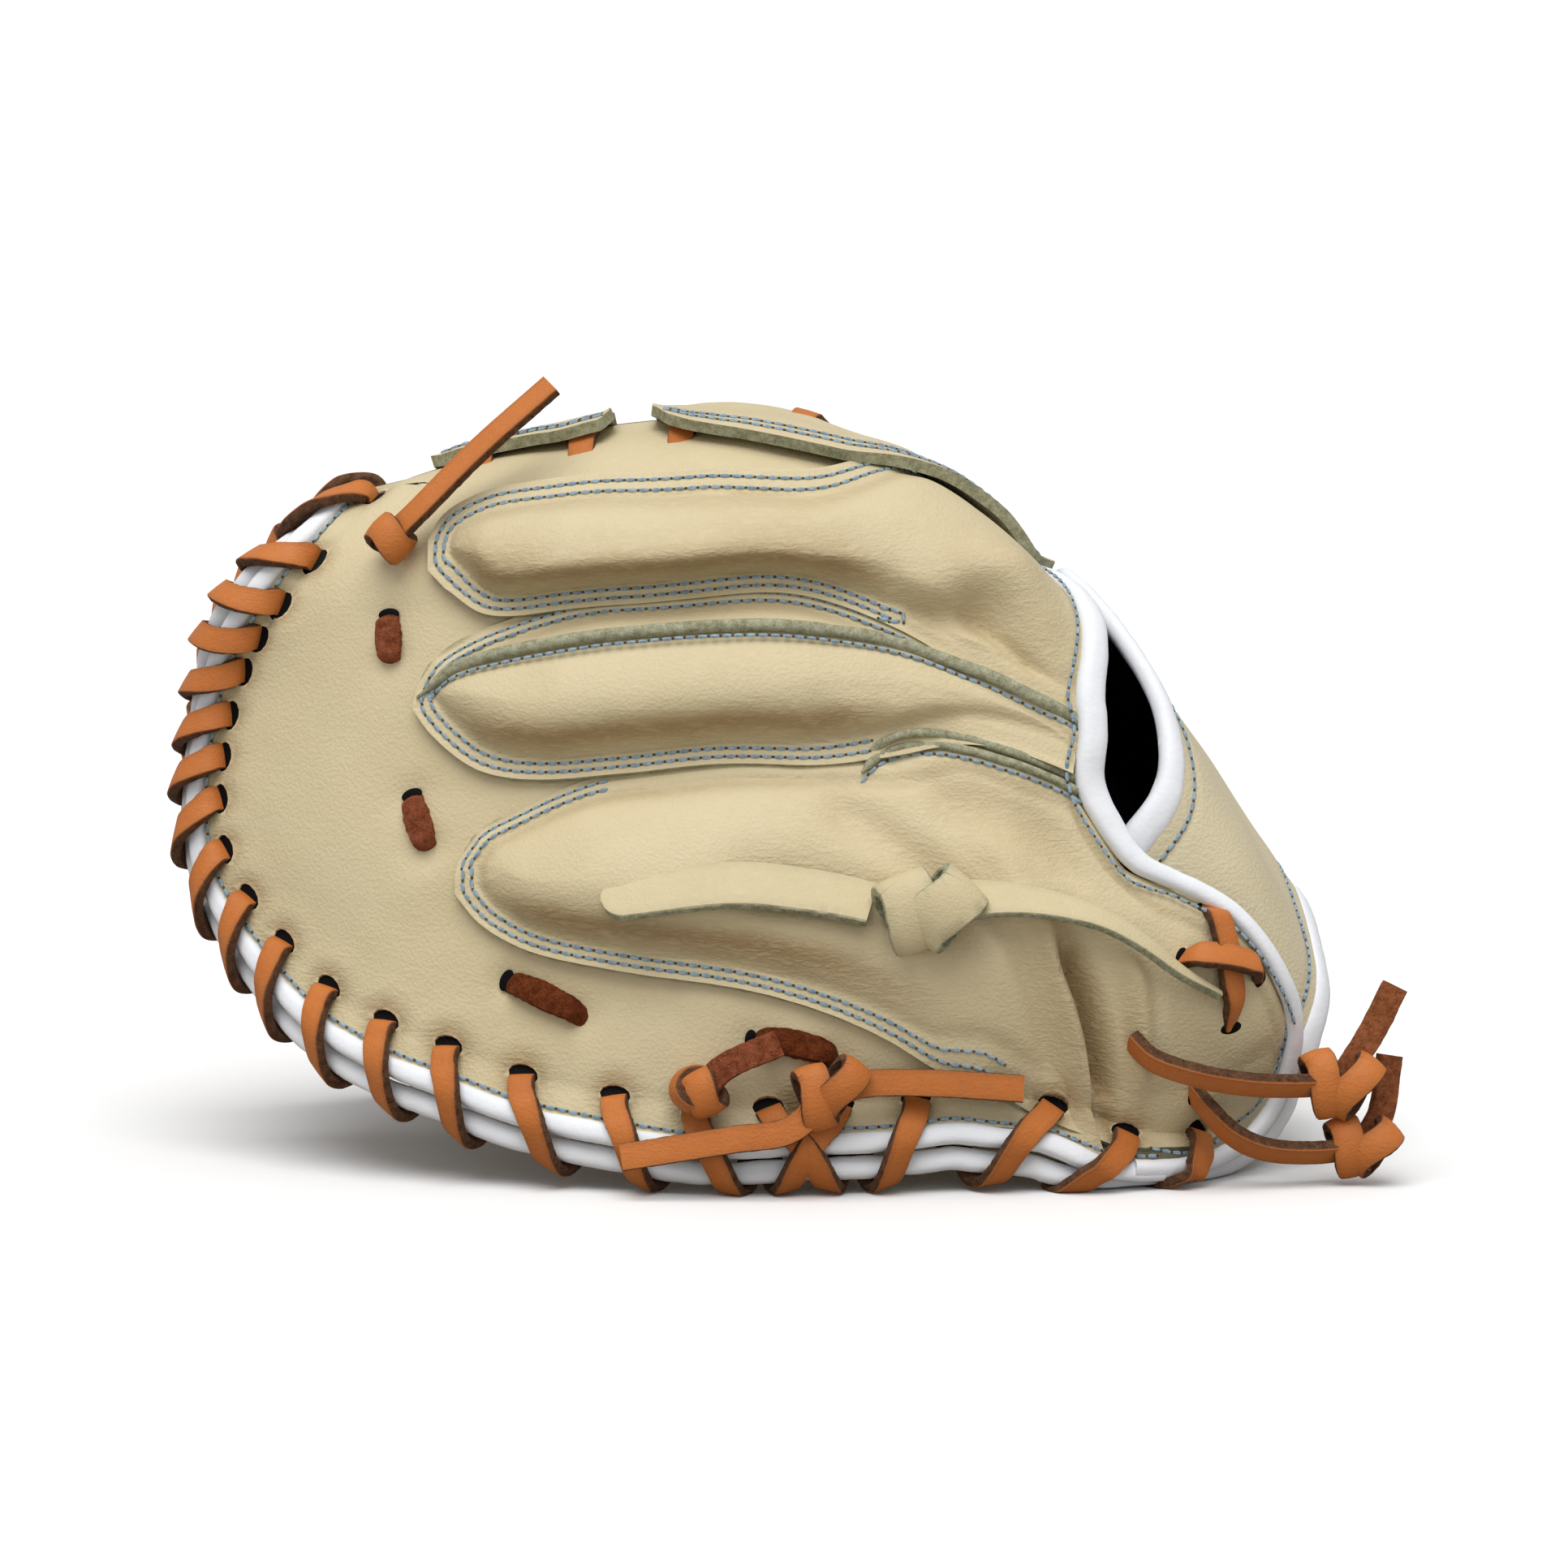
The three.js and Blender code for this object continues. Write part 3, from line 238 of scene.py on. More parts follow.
# Dents and folds of the leather: s and t of both ends of the line, width, depth (below zero is a ridge)
DENTS = np.array([
    (77, -112, 95, -116, 4.6, 9.5),
    (68, -112, 86, -124, 6.0, -4.5),
    (90, -96, 101, -107, 5.5, -4.0),
    (92, -103, 100, -112, 2.6, 2.4),
    (60, -124, 84, -136, 5.0, 2.5),
    (40, -56, 52, -47, 4.5, 4.5),
    (52, -47, 61, -50, 4.0, 3.6),
    (42, -48, 54, -38, 5.5, -3.5),
    (54, -40, 61, -42, 5.0, -3.0),
    (40, -62, 56, -56, 5.0, -2.0),
    (26, -90, 44, -79, 7.0, -2.5),
    (48, -100, 68, -88, 7.0, 2.6),
    (58, -105, 76, -98, 6.0, -2.0),
    (24, -117, 52, -122, 6.0, 2.6),
    (52, -128, 64, -112, 4.5, -2.2),
    (-40, -58, 20, -57, 3.5, 2.0),
    (-45, -103, 5, -103, 4.0, 1.6),
    (5, -140, 46, -134, 8.0, 3.2),
    (104, -84, 112, -78, 5.0, 1.4),
    (-60, -160, -20, -172, 7.0, 1.0),
], float)

# Path of a lace round the rim: out, up, share of the wrap, and 1 where it follows the palm's edge.
# The first two rows and the last one are measured from the hole.
WRAP_PATH = (
    (0.0, 0.5, 0, 0),
    (0.6, 4.2, 0.02, 0),
    (-1.2, 5.9, 0.1, 0),
    (2.0, 6.9, 0.2, 0),
    (5.4, 6.6, 0.29, 0),
    (8.8, 4.3, 0.37, 0.5),
    (11.9, 0.6, 0.44, 1),
    (13.1, -3.2, 0.5, 1),
    (11.6, -6.6, 0.58, 1),
    (6.0, -7.6, 0.7, 1),
    (0.0, -7.2, 0.85, 0),
    (0.3, -6.2, 0.97, 0),
)
FROM_HOLE = (0, 1, 11)


def clamp01(value):
    return np.clip(value, 0.0, 1.0)


def smooth(start, end, value):
    u = clamp01((np.asarray(value, float) - start) / (end - start))
    return u * u * (3 - 2 * u)


def track(table, column, x):
    """Smooth reading between the rows of a table."""
    xs = table[:, 0]
    ys = table[:, column]
    slopes = np.empty(len(xs))
    slopes[0] = (ys[1] - ys[0]) / (xs[1] - xs[0])
    slopes[-1] = (ys[-1] - ys[-2]) / (xs[-1] - xs[-2])
    slopes[1:-1] = (ys[2:] - ys[:-2]) / (xs[2:] - xs[:-2])
    x = np.asarray(x, float)
    i = np.clip(np.searchsorted(xs, x) - 1, 0, len(xs) - 2)
    width = xs[i + 1] - xs[i]
    u = np.clip((x - xs[i]) / width, -0.5, 1.5)
    rise = (2 * u**3 - 3 * u**2 + 1) * ys[i] + (u**3 - 2 * u**2 + u) * width * slopes[i]
    return rise + (3 * u**2 - 2 * u**3) * ys[i + 1] + (u**3 - u**2) * width * slopes[i + 1]


def fold(s, t):
    """Places on the palm's inside."""
    s, t = np.broadcast_arrays(np.asarray(s, float), np.asarray(t, float))
    lean = np.radians(np.where(t < 0, track(FOLD, FOLD_FRONT, s), track(FOLD, FOLD_BACK, s)))
    radius = track(FOLD, FOLD_RADIUS, s)
    crest = track(FOLD, FOLD_Z, s)
    reach = np.abs(t)
    bend = radius * (math.pi / 2 - lean)
    arc = np.minimum(reach, bend)
    run = np.maximum(reach - bend, 0)
    drop = radius * (1 - np.cos(arc / radius)) + run * np.cos(lean)
    spread = radius * np.sin(arc / radius) + run * np.sin(lean)
    cup = 0.003 * np.maximum(-60 - s, 0) ** 2 * smooth(5, 70, reach)
    flare = 11 * smooth(0, 75, 75 - (crest - drop)) * smooth(150, 110, s)
    side = np.sign(t) * (spread - cup + flare)
    return np.stack([s, track(FOLD, FOLD_Y, s) + side, crest - drop], -1)


def unit(vectors):
    return vectors / np.maximum(np.linalg.norm(vectors, axis=-1, keepdims=True), 1e-9)


def normal(s, t):
    step = 0.5
    along_s = fold(s + step, t) - fold(s - step, t)
    along_t = fold(s, t + step) - fold(s, t - step)
    return unit(np.cross(along_s, along_t))


def place(s, t, h):
    s, t, h = np.broadcast_arrays(np.asarray(s, float), np.asarray(t, float), np.asarray(h, float))
    return fold(s, t) + h[..., None] * normal(s, t)


def across(s, z, side):
    """The t at which the sheet reaches height z."""
    lean = np.radians(track(FOLD, FOLD_FRONT if side < 0 else FOLD_BACK, s))
    radius = track(FOLD, FOLD_RADIUS, s)
    turn = math.pi / 2 - lean
    drop = np.maximum(track(FOLD, FOLD_Z, s) - z, 0)
    bend_drop = radius * (1 - np.cos(turn))
    round_part = radius * np.arccos(np.clip(1 - drop / radius, -1, 1))
    straight_part = radius * turn + (drop - bend_drop) / np.cos(lean)
    return side * np.where(drop < bend_drop, round_part, straight_part)


low_rim = RIM_ROWS[LOWEST_TIP_ROW:]
RIM_HEIGHT = np.stack([low_rim[:, 0], fold(low_rim[:, 0], low_rim[:, 1])[:, 2]], -1)
TIP_REACH = np.stack([-RIM_ROWS[:TIP_ROWS, 1], RIM_ROWS[:TIP_ROWS, 0]], -1)


def overhang(s):
    return HEEL_OVERHANG + (PALM_OVERHANG - HEEL_OVERHANG) * smooth(103, 80, s)


def back_height(s, t):
    """Height of the back leather's outside over the palm's inside."""
    s, t = np.broadcast_arrays(np.asarray(s, float), np.asarray(t, float))
    reach = np.abs(t)
    rim_z = track(RIM_HEIGHT, 1, s)
    lower = np.abs(np.where(t < 0, across(s, rim_z, FINGER), across(s, rim_z, THUMB))) - reach
    left = np.where(s < -20, s - track(TIP_REACH, 1, reach), lower)
    inward = np.minimum(lower, left) - FLANGE
    fall = np.sin(clamp01(inward / FLANGE_RISE) * math.pi / 2) ** 0.8
    keep = smooth(8, 42, reach)
    share = keep + (1 - keep) * smooth(62, 84, s)
    return EDGE_HEIGHT + (track(HAND_ROOM, 1, s) * share + RIDGE_ROOM * (1 - share)) * fall


def spline(points, u):
    """Centripetal spline through the points, read at values from 0 to 1."""
    points = np.asarray(points, float)
    last = len(points) - 1
    padded = np.vstack([2 * points[0] - points[1], points, 2 * points[-1] - points[-2]])
    p = clamp01(np.asarray(u, float)) * last
    i = np.minimum(np.floor(p).astype(int), last - 1)
    w = (p - i)[..., None]
    p0, p1, p2, p3 = (padded[i + k] for k in range(4))
    gap = [np.sqrt(np.linalg.norm(b - a, axis=-1, keepdims=True)) for a, b in ((p0, p1), (p1, p2), (p2, p3))]
    d1 = np.where(gap[1] < 1e-4, 1.0, gap[1])
    d0 = np.where(gap[0] < 1e-4, d1, gap[0])
    d2 = np.where(gap[2] < 1e-4, d1, gap[2])
    m1 = ((p1 - p0) / d0 - (p2 - p0) / (d0 + d1) + (p2 - p1) / d1) * d1
    m2 = ((p2 - p1) / d1 - (p3 - p1) / (d1 + d2) + (p3 - p2) / d2) * d1
    return p1 + m1 * w + (3 * (p2 - p1) - 2 * m1 - m2) * w**2 + (2 * (p1 - p2) + m1 + m2) * w**3


def resampled(points, step):
    """The points of a dense line at even steps of length, with the line's directions."""
    points = np.asarray(points, float)
    lengths = np.concatenate([[0], np.cumsum(np.linalg.norm(np.diff(points, axis=0), axis=1))])
    count = max(2, int(round(lengths[-1] / step)) + 1)
    at = np.linspace(0, lengths[-1], count)
    spots = np.stack([np.interp(at, lengths, points[:, k]) for k in range(points.shape[1])], -1)
    return spots, unit(np.gradient(spots, axis=0))


def hole_inset(distance):
    """How far the lace holes lie from the rim: less at the fingertips."""
    return 3.2 + (HOLE_INSET - 1.2 - 3.2) * smooth(110, 210, distance)


class Rim:
    """The rim of one side, with frames at distances along it."""

    def __init__(self, side):
        self.side = side
        s = RIM_ROWS[:, 0]
        z = fold(s, RIM_ROWS[:, 1])[:, 2]
        t = RIM_ROWS[:, 1] if side < 0 else across(s, z, THUMB)
        self.points = np.stack([s, t, np.zeros(len(s))], -1)
        self.inner = np.stack([RIM_ROWS[:, 2], -side * RIM_ROWS[:, 3], np.zeros(len(s))], -1)
        self.values = np.linspace(0, 1, 401)
        flat = spline(self.points, self.values)
        places = fold(flat[:, 0], flat[:, 1])
        steps = np.linalg.norm(np.diff(places, axis=0), axis=1)
        self.lengths = np.concatenate([[0], np.cumsum(steps)])
        self.total = self.lengths[-1]
        holes = np.cumsum((FIRST_HOLE,) + LACE_STEPS)
        self.holes = holes if side < 0 else holes[:THUMB_HOLES]

    def value(self, distance):
        return np.interp(distance, self.lengths, self.values)

    def frame(self, distance):
        value = self.value(distance)
        spot = spline(self.points, value)
        s, t = spot[..., 0], spot[..., 1]
        ahead = spline(self.points, value + 0.004)
        behind = spline(self.points, value - 0.004)
        tangent = unit(fold(ahead[..., 0], ahead[..., 1]) - fold(behind[..., 0], behind[..., 1]))
        up = normal(s, t)
        out = -self.side * unit(np.cross(tangent, up))
        return {"origin": fold(s, t), "tangent": tangent, "out": out, "up": up, "s": s, "t": t}

    def spots(self, distance, out, up):
        f = self.frame(distance)
        out = np.broadcast_to(out, np.shape(distance))
        up = np.broadcast_to(up, np.shape(distance))
        return f["origin"] + f["out"] * out[..., None] + f["up"] * up[..., None]


RIMS = {FINGER: Rim(FINGER), THUMB: Rim(THUMB)}


def wraps_of(side):
    """Each lace wrap as distances along the rim: its hole, its lowest point and the hole after it."""
    holes = RIMS[side].holes
    if side > 0:
        return [(a, (a + b) / 2, b) for a, b in zip(holes[:-1], holes[1:])]
    last = LAST_LEANING_RIGHT
    left, right = holes[last] - 6, holes[last] + 12
    ends = [*holes[: last], left]
    wraps = [(a, a + (b - a) * (0.5 + 0.3 * smooth(190, 100, a)), b) for a, b in zip(ends[:-1], ends[1:])]
    wraps.append((left, left + 15, left + 24))
    starts = [*holes[: last : -1], right]
    wraps += [(a, a - min(13.0, (a - b) / 2), b) for a, b in zip(starts[:-1], starts[1:])]
    wraps.append((right, right - 15, right - 24))
    return wraps


WRAPS = {side: wraps_of(side) for side in (FINGER, THUMB)}
WRAP_RUNS = {FINGER: ((0, LAST_LEANING_RIGHT + 1), (LAST_LEANING_RIGHT + 1, 30)), THUMB: ((0, 30),)}
VISIBLE_HOLES = {
    FINGER: sorted({wrap[0] for wrap in WRAPS[FINGER]}),
    THUMB: list(RIMS[THUMB].holes),
}


def waves(points, scale, seed):
    """Soft random numbers from -1 to 1 that vary over the given size."""
    flat = np.asarray(points, float).reshape(-1, 3)
    values = [noise.noise(Vector(p) / scale + Vector((seed, 0.0, 0.0))) for p in flat]
    return np.array(values).reshape(np.shape(points)[:-1])


def distance_to_line(s, t, line):
    s0, t0, s1, t1 = line[:4]
    run = np.array([s1 - s0, t1 - t0])
    u = clamp01(((s - s0) * run[0] + (t - t0) * run[1]) / (run @ run))
    return np.hypot(s - s0 - u * run[0], t - t0 - u * run[1])


def relief(s, t, side):
    """Folds, dents and soft unevenness of the leather, in millimetres of height."""
    spots = fold(s, t)
    amount = 0.7 * waves(spots, 34.0, 3.0 + side) + 0.25 * waves(spots, 12.0, 11.0 + side)
    if side < 0:
        for line in DENTS:
            amount = amount - line[5] * np.exp(-(distance_to_line(s, t, line) / line[4]) ** 2)
    rim = RIMS[side]
    holes = rim.spots(rim.holes, -hole_inset(rim.holes), 0.0)
    for hole in holes:
        away = np.linalg.norm(spots - hole, axis=-1)
        amount = amount - 1.3 * np.exp(-(away / 4.2) ** 2) + 0.35 * np.exp(-((away - 8.5) / 3.0) ** 2)
    return amount


def crease_mask(s, t, side):
    """Where the leather is wrinkled and darkened with painted shade: by folds, dents and lace holes."""
    mask = np.zeros(np.broadcast(s, t).shape)
    if side < 0:
        for line in DENTS:
            near = np.exp(-(distance_to_line(s, t, line) / (line[4] * 1.8)) ** 2)
            mask = np.maximum(mask, min(0.9, 0.08 + abs(line[5]) / 10.5) * near)
    rim = RIMS[side]
    spots = fold(s, t)
    for hole in rim.spots(rim.holes, -hole_inset(rim.holes), 0.0):
        mask = np.maximum(mask, np.exp(-(np.linalg.norm(spots - hole, axis=-1) / 7.0) ** 2))
    return mask


# Meshes

def metres(points):
    """Points in the shared frame in metres. What lies on the floor is pressed flat there."""
    moved = np.array(points, float) + FRAME_SHIFT
    height = moved[..., 2]
    pressed = FLOOR_SOFT * np.exp(height / FLOOR_SOFT - 1)
    moved[..., 2] = np.where(height < FLOOR_SOFT, pressed, height)
    return moved * MM


def put_attribute(mesh, name, values):
    layer = mesh.attributes.new(name, "FLOAT", "POINT")
    layer.data.foreach_set("value", np.asarray(values, np.float32).ravel())


def grid_piece(name, points, outward=None, **attributes):
    """A grid primitive whose vertices are moved to the points, an array of rows by columns."""
    rows, columns = points.shape[0] - 1, points.shape[1] - 1
    bpy.ops.mesh.primitive_grid_add(x_subdivisions=rows, y_subdivisions=columns, size=2)
    piece = bpy.context.object
    piece.name = name
    piece.data.name = name
    mesh = piece.data
    mesh.vertices.foreach_set("co", metres(points).transpose(1, 0, 2).ravel())
    for key, values in attributes.items():
        put_attribute(mesh, key, np.broadcast_to(values, points.shape[:2]).T)
    mesh.update()
    if outward is not None:
        facing = np.empty(len(mesh.vertices) * 3)
        mesh.vertices.foreach_get("normal", facing)
        if np.sum(facing.reshape(-1, 3) * outward.transpose(1, 0, 2).reshape(-1, 3)) < 0:
            bpy.ops.object.mode_set(mode="EDIT")
            bpy.ops.mesh.select_all(action="SELECT")
            bpy.ops.mesh.flip_normals()
            bpy.ops.object.mode_set(mode="OBJECT")
    return piece


def apply_modifier(piece, kind, **settings):
    modifier = piece.modifiers.new(kind.title(), kind)
    for key, value in settings.items():
        setattr(modifier, key, value)
    bpy.context.view_layer.objects.active = piece
    bpy.ops.object.modifier_apply(modifier=modifier.name)


def thicken(piece, thickness, rim_slot=1, inner_slot=2):
    """Gives a sheet its thickness. Its cut edges and its inner side get material slots of their own."""
    for _ in range(1 + max(rim_slot, inner_slot)):
        piece.data.materials.append(CREAM)
    apply_modifier(
        piece, "SOLIDIFY", thickness=thickness * MM, offset=-1.0, use_even_offset=False,
        material_offset_rim=rim_slot, material_offset=inner_slot,
    )


def tube_piece(name, sections, **attributes):
    """A closed body through sections of points, an array of sections by points round each of them."""
    wrapped = np.concatenate([sections, sections[:, :1]], axis=1)
    around = {}
    for key, values in attributes.items():
        full = np.broadcast_to(values, sections.shape[:2])
        around[key] = np.concatenate([full, full[:, :1]], axis=1)
    piece = grid_piece(name, wrapped, **around)
    bpy.ops.object.mode_set(mode="EDIT")
    bpy.ops.mesh.select_all(action="SELECT")
    bpy.ops.mesh.remove_doubles(threshold=1e-6)
    bpy.ops.mesh.select_all(action="SELECT")
    bpy.ops.mesh.fill_holes(sides=0)
    bpy.ops.mesh.select_all(action="SELECT")
    bpy.ops.mesh.normals_make_consistent(inside=False)
    bpy.ops.object.mode_set(mode="OBJECT")
    return piece


def shade(piece):
    bpy.ops.object.select_all(action="DESELECT")
    piece.select_set(True)
    bpy.context.view_layer.objects.active = piece
    bpy.ops.object.shade_smooth_by_angle(angle=math.radians(SMOOTH_ANGLE))
    piece.select_set(False)


def finish(piece, slot, nodes, *materials):
    """Gives a piece its materials, its body and the nodes that it stands for."""
    faces = [min(face.material_index, len(materials) - 1) for face in piece.data.polygons]
    piece.data.materials.clear()
    for material in materials:
        piece.data.materials.append(material)
    piece.data.polygons.foreach_set("material_index", faces)
    shade(piece)
    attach(piece, "root")
    if nodes:
        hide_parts(*nodes)
    return piece


def join(name, parts):
    bpy.ops.object.select_all(action="DESELECT")
    for part in parts:
        part.select_set(True)
    bpy.context.view_layer.objects.active = parts[0]
    bpy.ops.object.join()
    parts[0].name = name
    parts[0].data.name = name
    parts[0].select_set(False)
    return parts[0]


def round_tube(name, middle, outs, ups, half_out, half_up, crease):
    """A soft roll with its own half sizes outwards and upwards at each point of its middle line."""
    turn = np.linspace(0, 2 * math.pi, ROLL_SIDES, endpoint=False)
    a = np.sign(np.cos(turn)) * np.abs(np.cos(turn)) ** 0.8
    b = np.sign(np.sin(turn)) * np.abs(np.sin(turn)) ** 0.8
    half_out = np.broadcast_to(half_out, len(middle))[:, None, None]
    half_up = np.broadcast_to(half_up, len(middle))[:, None, None]
    sections = (
        middle[:, None]
        + outs[:, None] * a[None, :, None] * half_out
        + ups[:, None] * b[None, :, None] * half_up
    )
    around = unit(sections - middle[:, None])
    uneven = 0.16 * waves(sections, 5.0, 21.0) + 0.1 * waves(sections * np.array([1.0, 1.0, 0.4]), 1.6, 22.0)
    return tube_piece(name, sections + around * uneven[..., None], crease=crease)


# Section of a flat lace or strap: across, through, and 1 where its rough flesh shows
RIBBON_PROFILE = np.array([
    (-0.5, 1, 0), (0, 1.04, 0), (0.5, 1, 0), (0.93, 0.94, 0.2), (1, 0.6, 1), (1, -0.6, 1), (0.93, -0.94, 1),
    (0.5, -1, 1), (0, -1, 1), (-0.5, -1, 1), (-0.93, -0.94, 1), (-1, -0.6, 1), (-1, 0.6, 1),
    (-0.93, 0.94, 0.2),
])


def ribbon(
    name, path, wide, width=LACE_WIDTH, thickness=LACE_THICKNESS, taper=None,
    seed=0.0, rough=0.22, cup=0.0, roll=0.0,
):
    """A flat lace along a path. Its smooth side lies where the path's direction crosses wide."""
    path = np.asarray(path, float)
    along = unit(np.gradient(path, axis=0))
    face = unit(np.cross(along, np.broadcast_to(wide, path.shape)))
    flat = unit(np.cross(face, along))
    turned_flat = flat * math.cos(roll) + face * math.sin(roll)
    face = face * math.cos(roll) - flat * math.sin(roll)
    flat = turned_flat
    widths = np.full(len(path), width) if taper is None else width * np.asarray(taper)
    a = RIBBON_PROFILE[:, 0]
    b = RIBBON_PROFILE[:, 1]
    sections = (
        path[:, None]
        + flat[:, None] * (widths[:, None] * a / 2)[..., None]
        + face[:, None] * (b * thickness / 2 - cup * a**2)[None, :, None]
    )
    ragged = waves(sections, 1.3, 5.0 + seed) * rough * np.abs(RIBBON_PROFILE[:, 2])[None]
    sections = sections + flat[:, None] * (np.sign(a) * ragged)[..., None]
    return tube_piece(name, sections, flesh=RIBBON_PROFILE[:, 2][None])


# Materials

def add_node(tree, kind, settings=None, **inputs):
    made = tree.nodes.new(kind)
    for key, value in (settings or {}).items():
        setattr(made, key, value)
    for key, value in inputs.items():
        feed(tree, made.inputs[key.replace("_", " ")], value)
    return made


def feed(tree, socket, value):
    if isinstance(value, bpy.types.NodeSocket):
        tree.links.new(value, socket)
    elif value is not None:
        socket.default_value = value


def mix_colour(tree, factor, first, second):
    made = tree.nodes.new("ShaderNodeMix")
    made.data_type = "RGBA"
    feed(tree, made.inputs[0], factor)
    feed(tree, made.inputs[6], first)
    feed(tree, made.inputs[7], second)
    return made.outputs[2]


def calculate(tree, operation, first, second=None, clamp=False):
    made = tree.nodes.new("ShaderNodeMath")
    made.operation = operation
    made.use_clamp = clamp
    feed(tree, made.inputs[0], first)
    feed(tree, made.inputs[1], second)
    return made.outputs[0]


def new_group(name, inputs, outputs):
    group = bpy.data.node_groups.new(name, "ShaderNodeTree")
    for label, kind, value in inputs:
        socket = group.interface.new_socket(label, in_out="INPUT", socket_type=kind)
        socket.default_value = value
    for label, kind in outputs:
        group.interface.new_socket(label, in_out="OUTPUT", socket_type=kind)
    return group, group.nodes.new("NodeGroupInput").outputs, group.nodes.new("NodeGroupOutput").inputs


def colour(*values):
    """A colour from its usual 0 to 255 values."""
    linear = [((v / 255 + 0.055) / 1.055) ** 2.4 if v > 10 else v / 255 / 12.92 for v in values]
    return (*linear, 1.0)


def build_leather_group():
    """Smooth leather: cloudy tone, fine pores, and wrinkles with painted shade where the Crease input is
    high.
    """
    group, given, result = new_group(
        "Smooth leather",
        [
            ("Light", "NodeSocketColor", (1, 1, 1, 1)),
            ("Dark", "NodeSocketColor", (0.5, 0.5, 0.5, 1)),
            ("Shade", "NodeSocketColor", (0.3, 0.3, 0.3, 1)),
            # Crease: the wrinkles and the share of painted shade
            ("Crease", "NodeSocketFloat", 0.0),
            ("Grain Depth", "NodeSocketFloat", 0.1),
            ("Pore Scale", "NodeSocketFloat", 1100.0),
        ],
        [("Color", "NodeSocketColor"), ("Roughness", "NodeSocketFloat"), ("Normal", "NodeSocketVector")],
    )
    place_in = add_node(group, "ShaderNodeTexCoord").outputs["Object"]
    clouds = add_node(group, "ShaderNodeTexNoise", Vector=place_in, Scale=24.0, Detail=5.0, Roughness=0.6)
    speckle = add_node(group, "ShaderNodeTexNoise", Vector=place_in, Scale=420.0, Detail=3.0, Roughness=0.6)
    pores = add_node(group, "ShaderNodeTexVoronoi", {"feature": "SMOOTH_F1"}, Vector=place_in, Smoothness=0.6)
    group.links.new(given["Pore Scale"], pores.inputs["Scale"])
    fine = add_node(group, "ShaderNodeTexNoise", Vector=place_in, Scale=2600.0, Detail=2.0)
    drawn = add_node(group, "ShaderNodeVectorMath", {"operation": "MULTIPLY"})
    group.links.new(place_in, drawn.inputs[0])
    drawn.inputs[1].default_value = (0.42, 0.6, 1.5)
    wrinkle = add_node(
        group, "ShaderNodeTexNoise", Vector=drawn.outputs[0], Scale=380.0, Detail=3.0, Roughness=0.55,
        Distortion=0.35,
    )
    folds = calculate(group, "ABSOLUTE", calculate(group, "SUBTRACT", wrinkle.outputs["Fac"], 0.5))
    fold_lines = calculate(group, "MULTIPLY", folds, 6.0, True)
    tone = calculate(group, "MULTIPLY", calculate(group, "SUBTRACT", clouds.outputs["Fac"], 0.36), 1.1, True)
    dots = calculate(group, "MULTIPLY", calculate(group, "SUBTRACT", speckle.outputs["Fac"], 0.5), 0.35)
    between_folds = calculate(group, "SUBTRACT", 1.0, fold_lines)
    # Painted shade: where Crease is high the colour turns towards Dark and then towards the Shade colour,
    # most in the wrinkle valleys
    wrinkle_valley_shade = calculate(group, "MULTIPLY", between_folds, given["Crease"], True)
    depth = calculate(group, "MULTIPLY", given["Crease"], given["Crease"])
    mottled = calculate(group, "ADD", tone, dots)
    mask = calculate(group, "ADD", mottled, calculate(group, "MULTIPLY", depth, 0.5), True)
    shaded = calculate(group, "MULTIPLY", depth, 0.62)
    painted_shade = calculate(group, "ADD", shaded, calculate(group, "MULTIPLY", wrinkle_valley_shade, 0.2), True)
    surface = mix_colour(group, mask, given["Light"], given["Dark"])
    group.links.new(mix_colour(group, painted_shade, surface, given["Shade"]), result["Color"])
    rough = calculate(group, "ADD", 0.47, calculate(group, "MULTIPLY", speckle.outputs["Fac"], 0.2))
    group.links.new(rough, result["Roughness"])
    pore_height = calculate(group, "MULTIPLY", pores.outputs["Distance"], 0.8)
    grain = calculate(group, "ADD", pore_height, calculate(group, "MULTIPLY", fine.outputs["Fac"], 0.25))
    wrinkle_height = calculate(group, "MULTIPLY", fold_lines, calculate(group, "ADD", given["Crease"], 0.08))
    height = calculate(group, "ADD", grain, calculate(group, "MULTIPLY", wrinkle_height, 1.3))
    bump = add_node(group, "ShaderNodeBump", Height=height, Distance=0.0004)
    group.links.new(given["Grain Depth"], bump.inputs["Strength"])
    group.links.new(bump.outputs["Normal"], result["Normal"])
    return group


def build_suede_group():
    """Rough flesh side and cut edges: short fibres in two tones."""
    group, given, result = new_group(
        "Rough leather",
        [
            ("Light", "NodeSocketColor", (1, 1, 1, 1)),
            ("Dark", "NodeSocketColor", (0.5, 0.5, 0.5, 1)),
            ("Depth", "NodeSocketFloat", 0.6),
        ],
        [("Color", "NodeSocketColor"), ("Normal", "NodeSocketVector")],
    )
    place_in = add_node(group, "ShaderNodeTexCoord").outputs["Object"]
    fibres = add_node(group, "ShaderNodeTexNoise", Vector=place_in, Scale=1900.0, Detail=4.0, Roughness=0.7)
    clumps = add_node(group, "ShaderNodeTexNoise", Vector=place_in, Scale=480.0, Detail=3.0, Roughness=0.6)
    both = calculate(group, "ADD", fibres.outputs["Fac"], clumps.outputs["Fac"])
    mask = calculate(group, "MULTIPLY", calculate(group, "SUBTRACT", both, 0.78), 2.3, True)
    group.links.new(mix_colour(group, mask, given["Dark"], given["Light"]), result["Color"])
    bump = add_node(group, "ShaderNodeBump", Height=both, Distance=0.0008)
    group.links.new(given["Depth"], bump.inputs["Strength"])
    group.links.new(bump.outputs["Normal"], result["Normal"])
    return group


LEATHER_GROUP = build_leather_group()
SUEDE_GROUP = build_suede_group()
BLACK_CLOTH = colour(12, 12, 13)


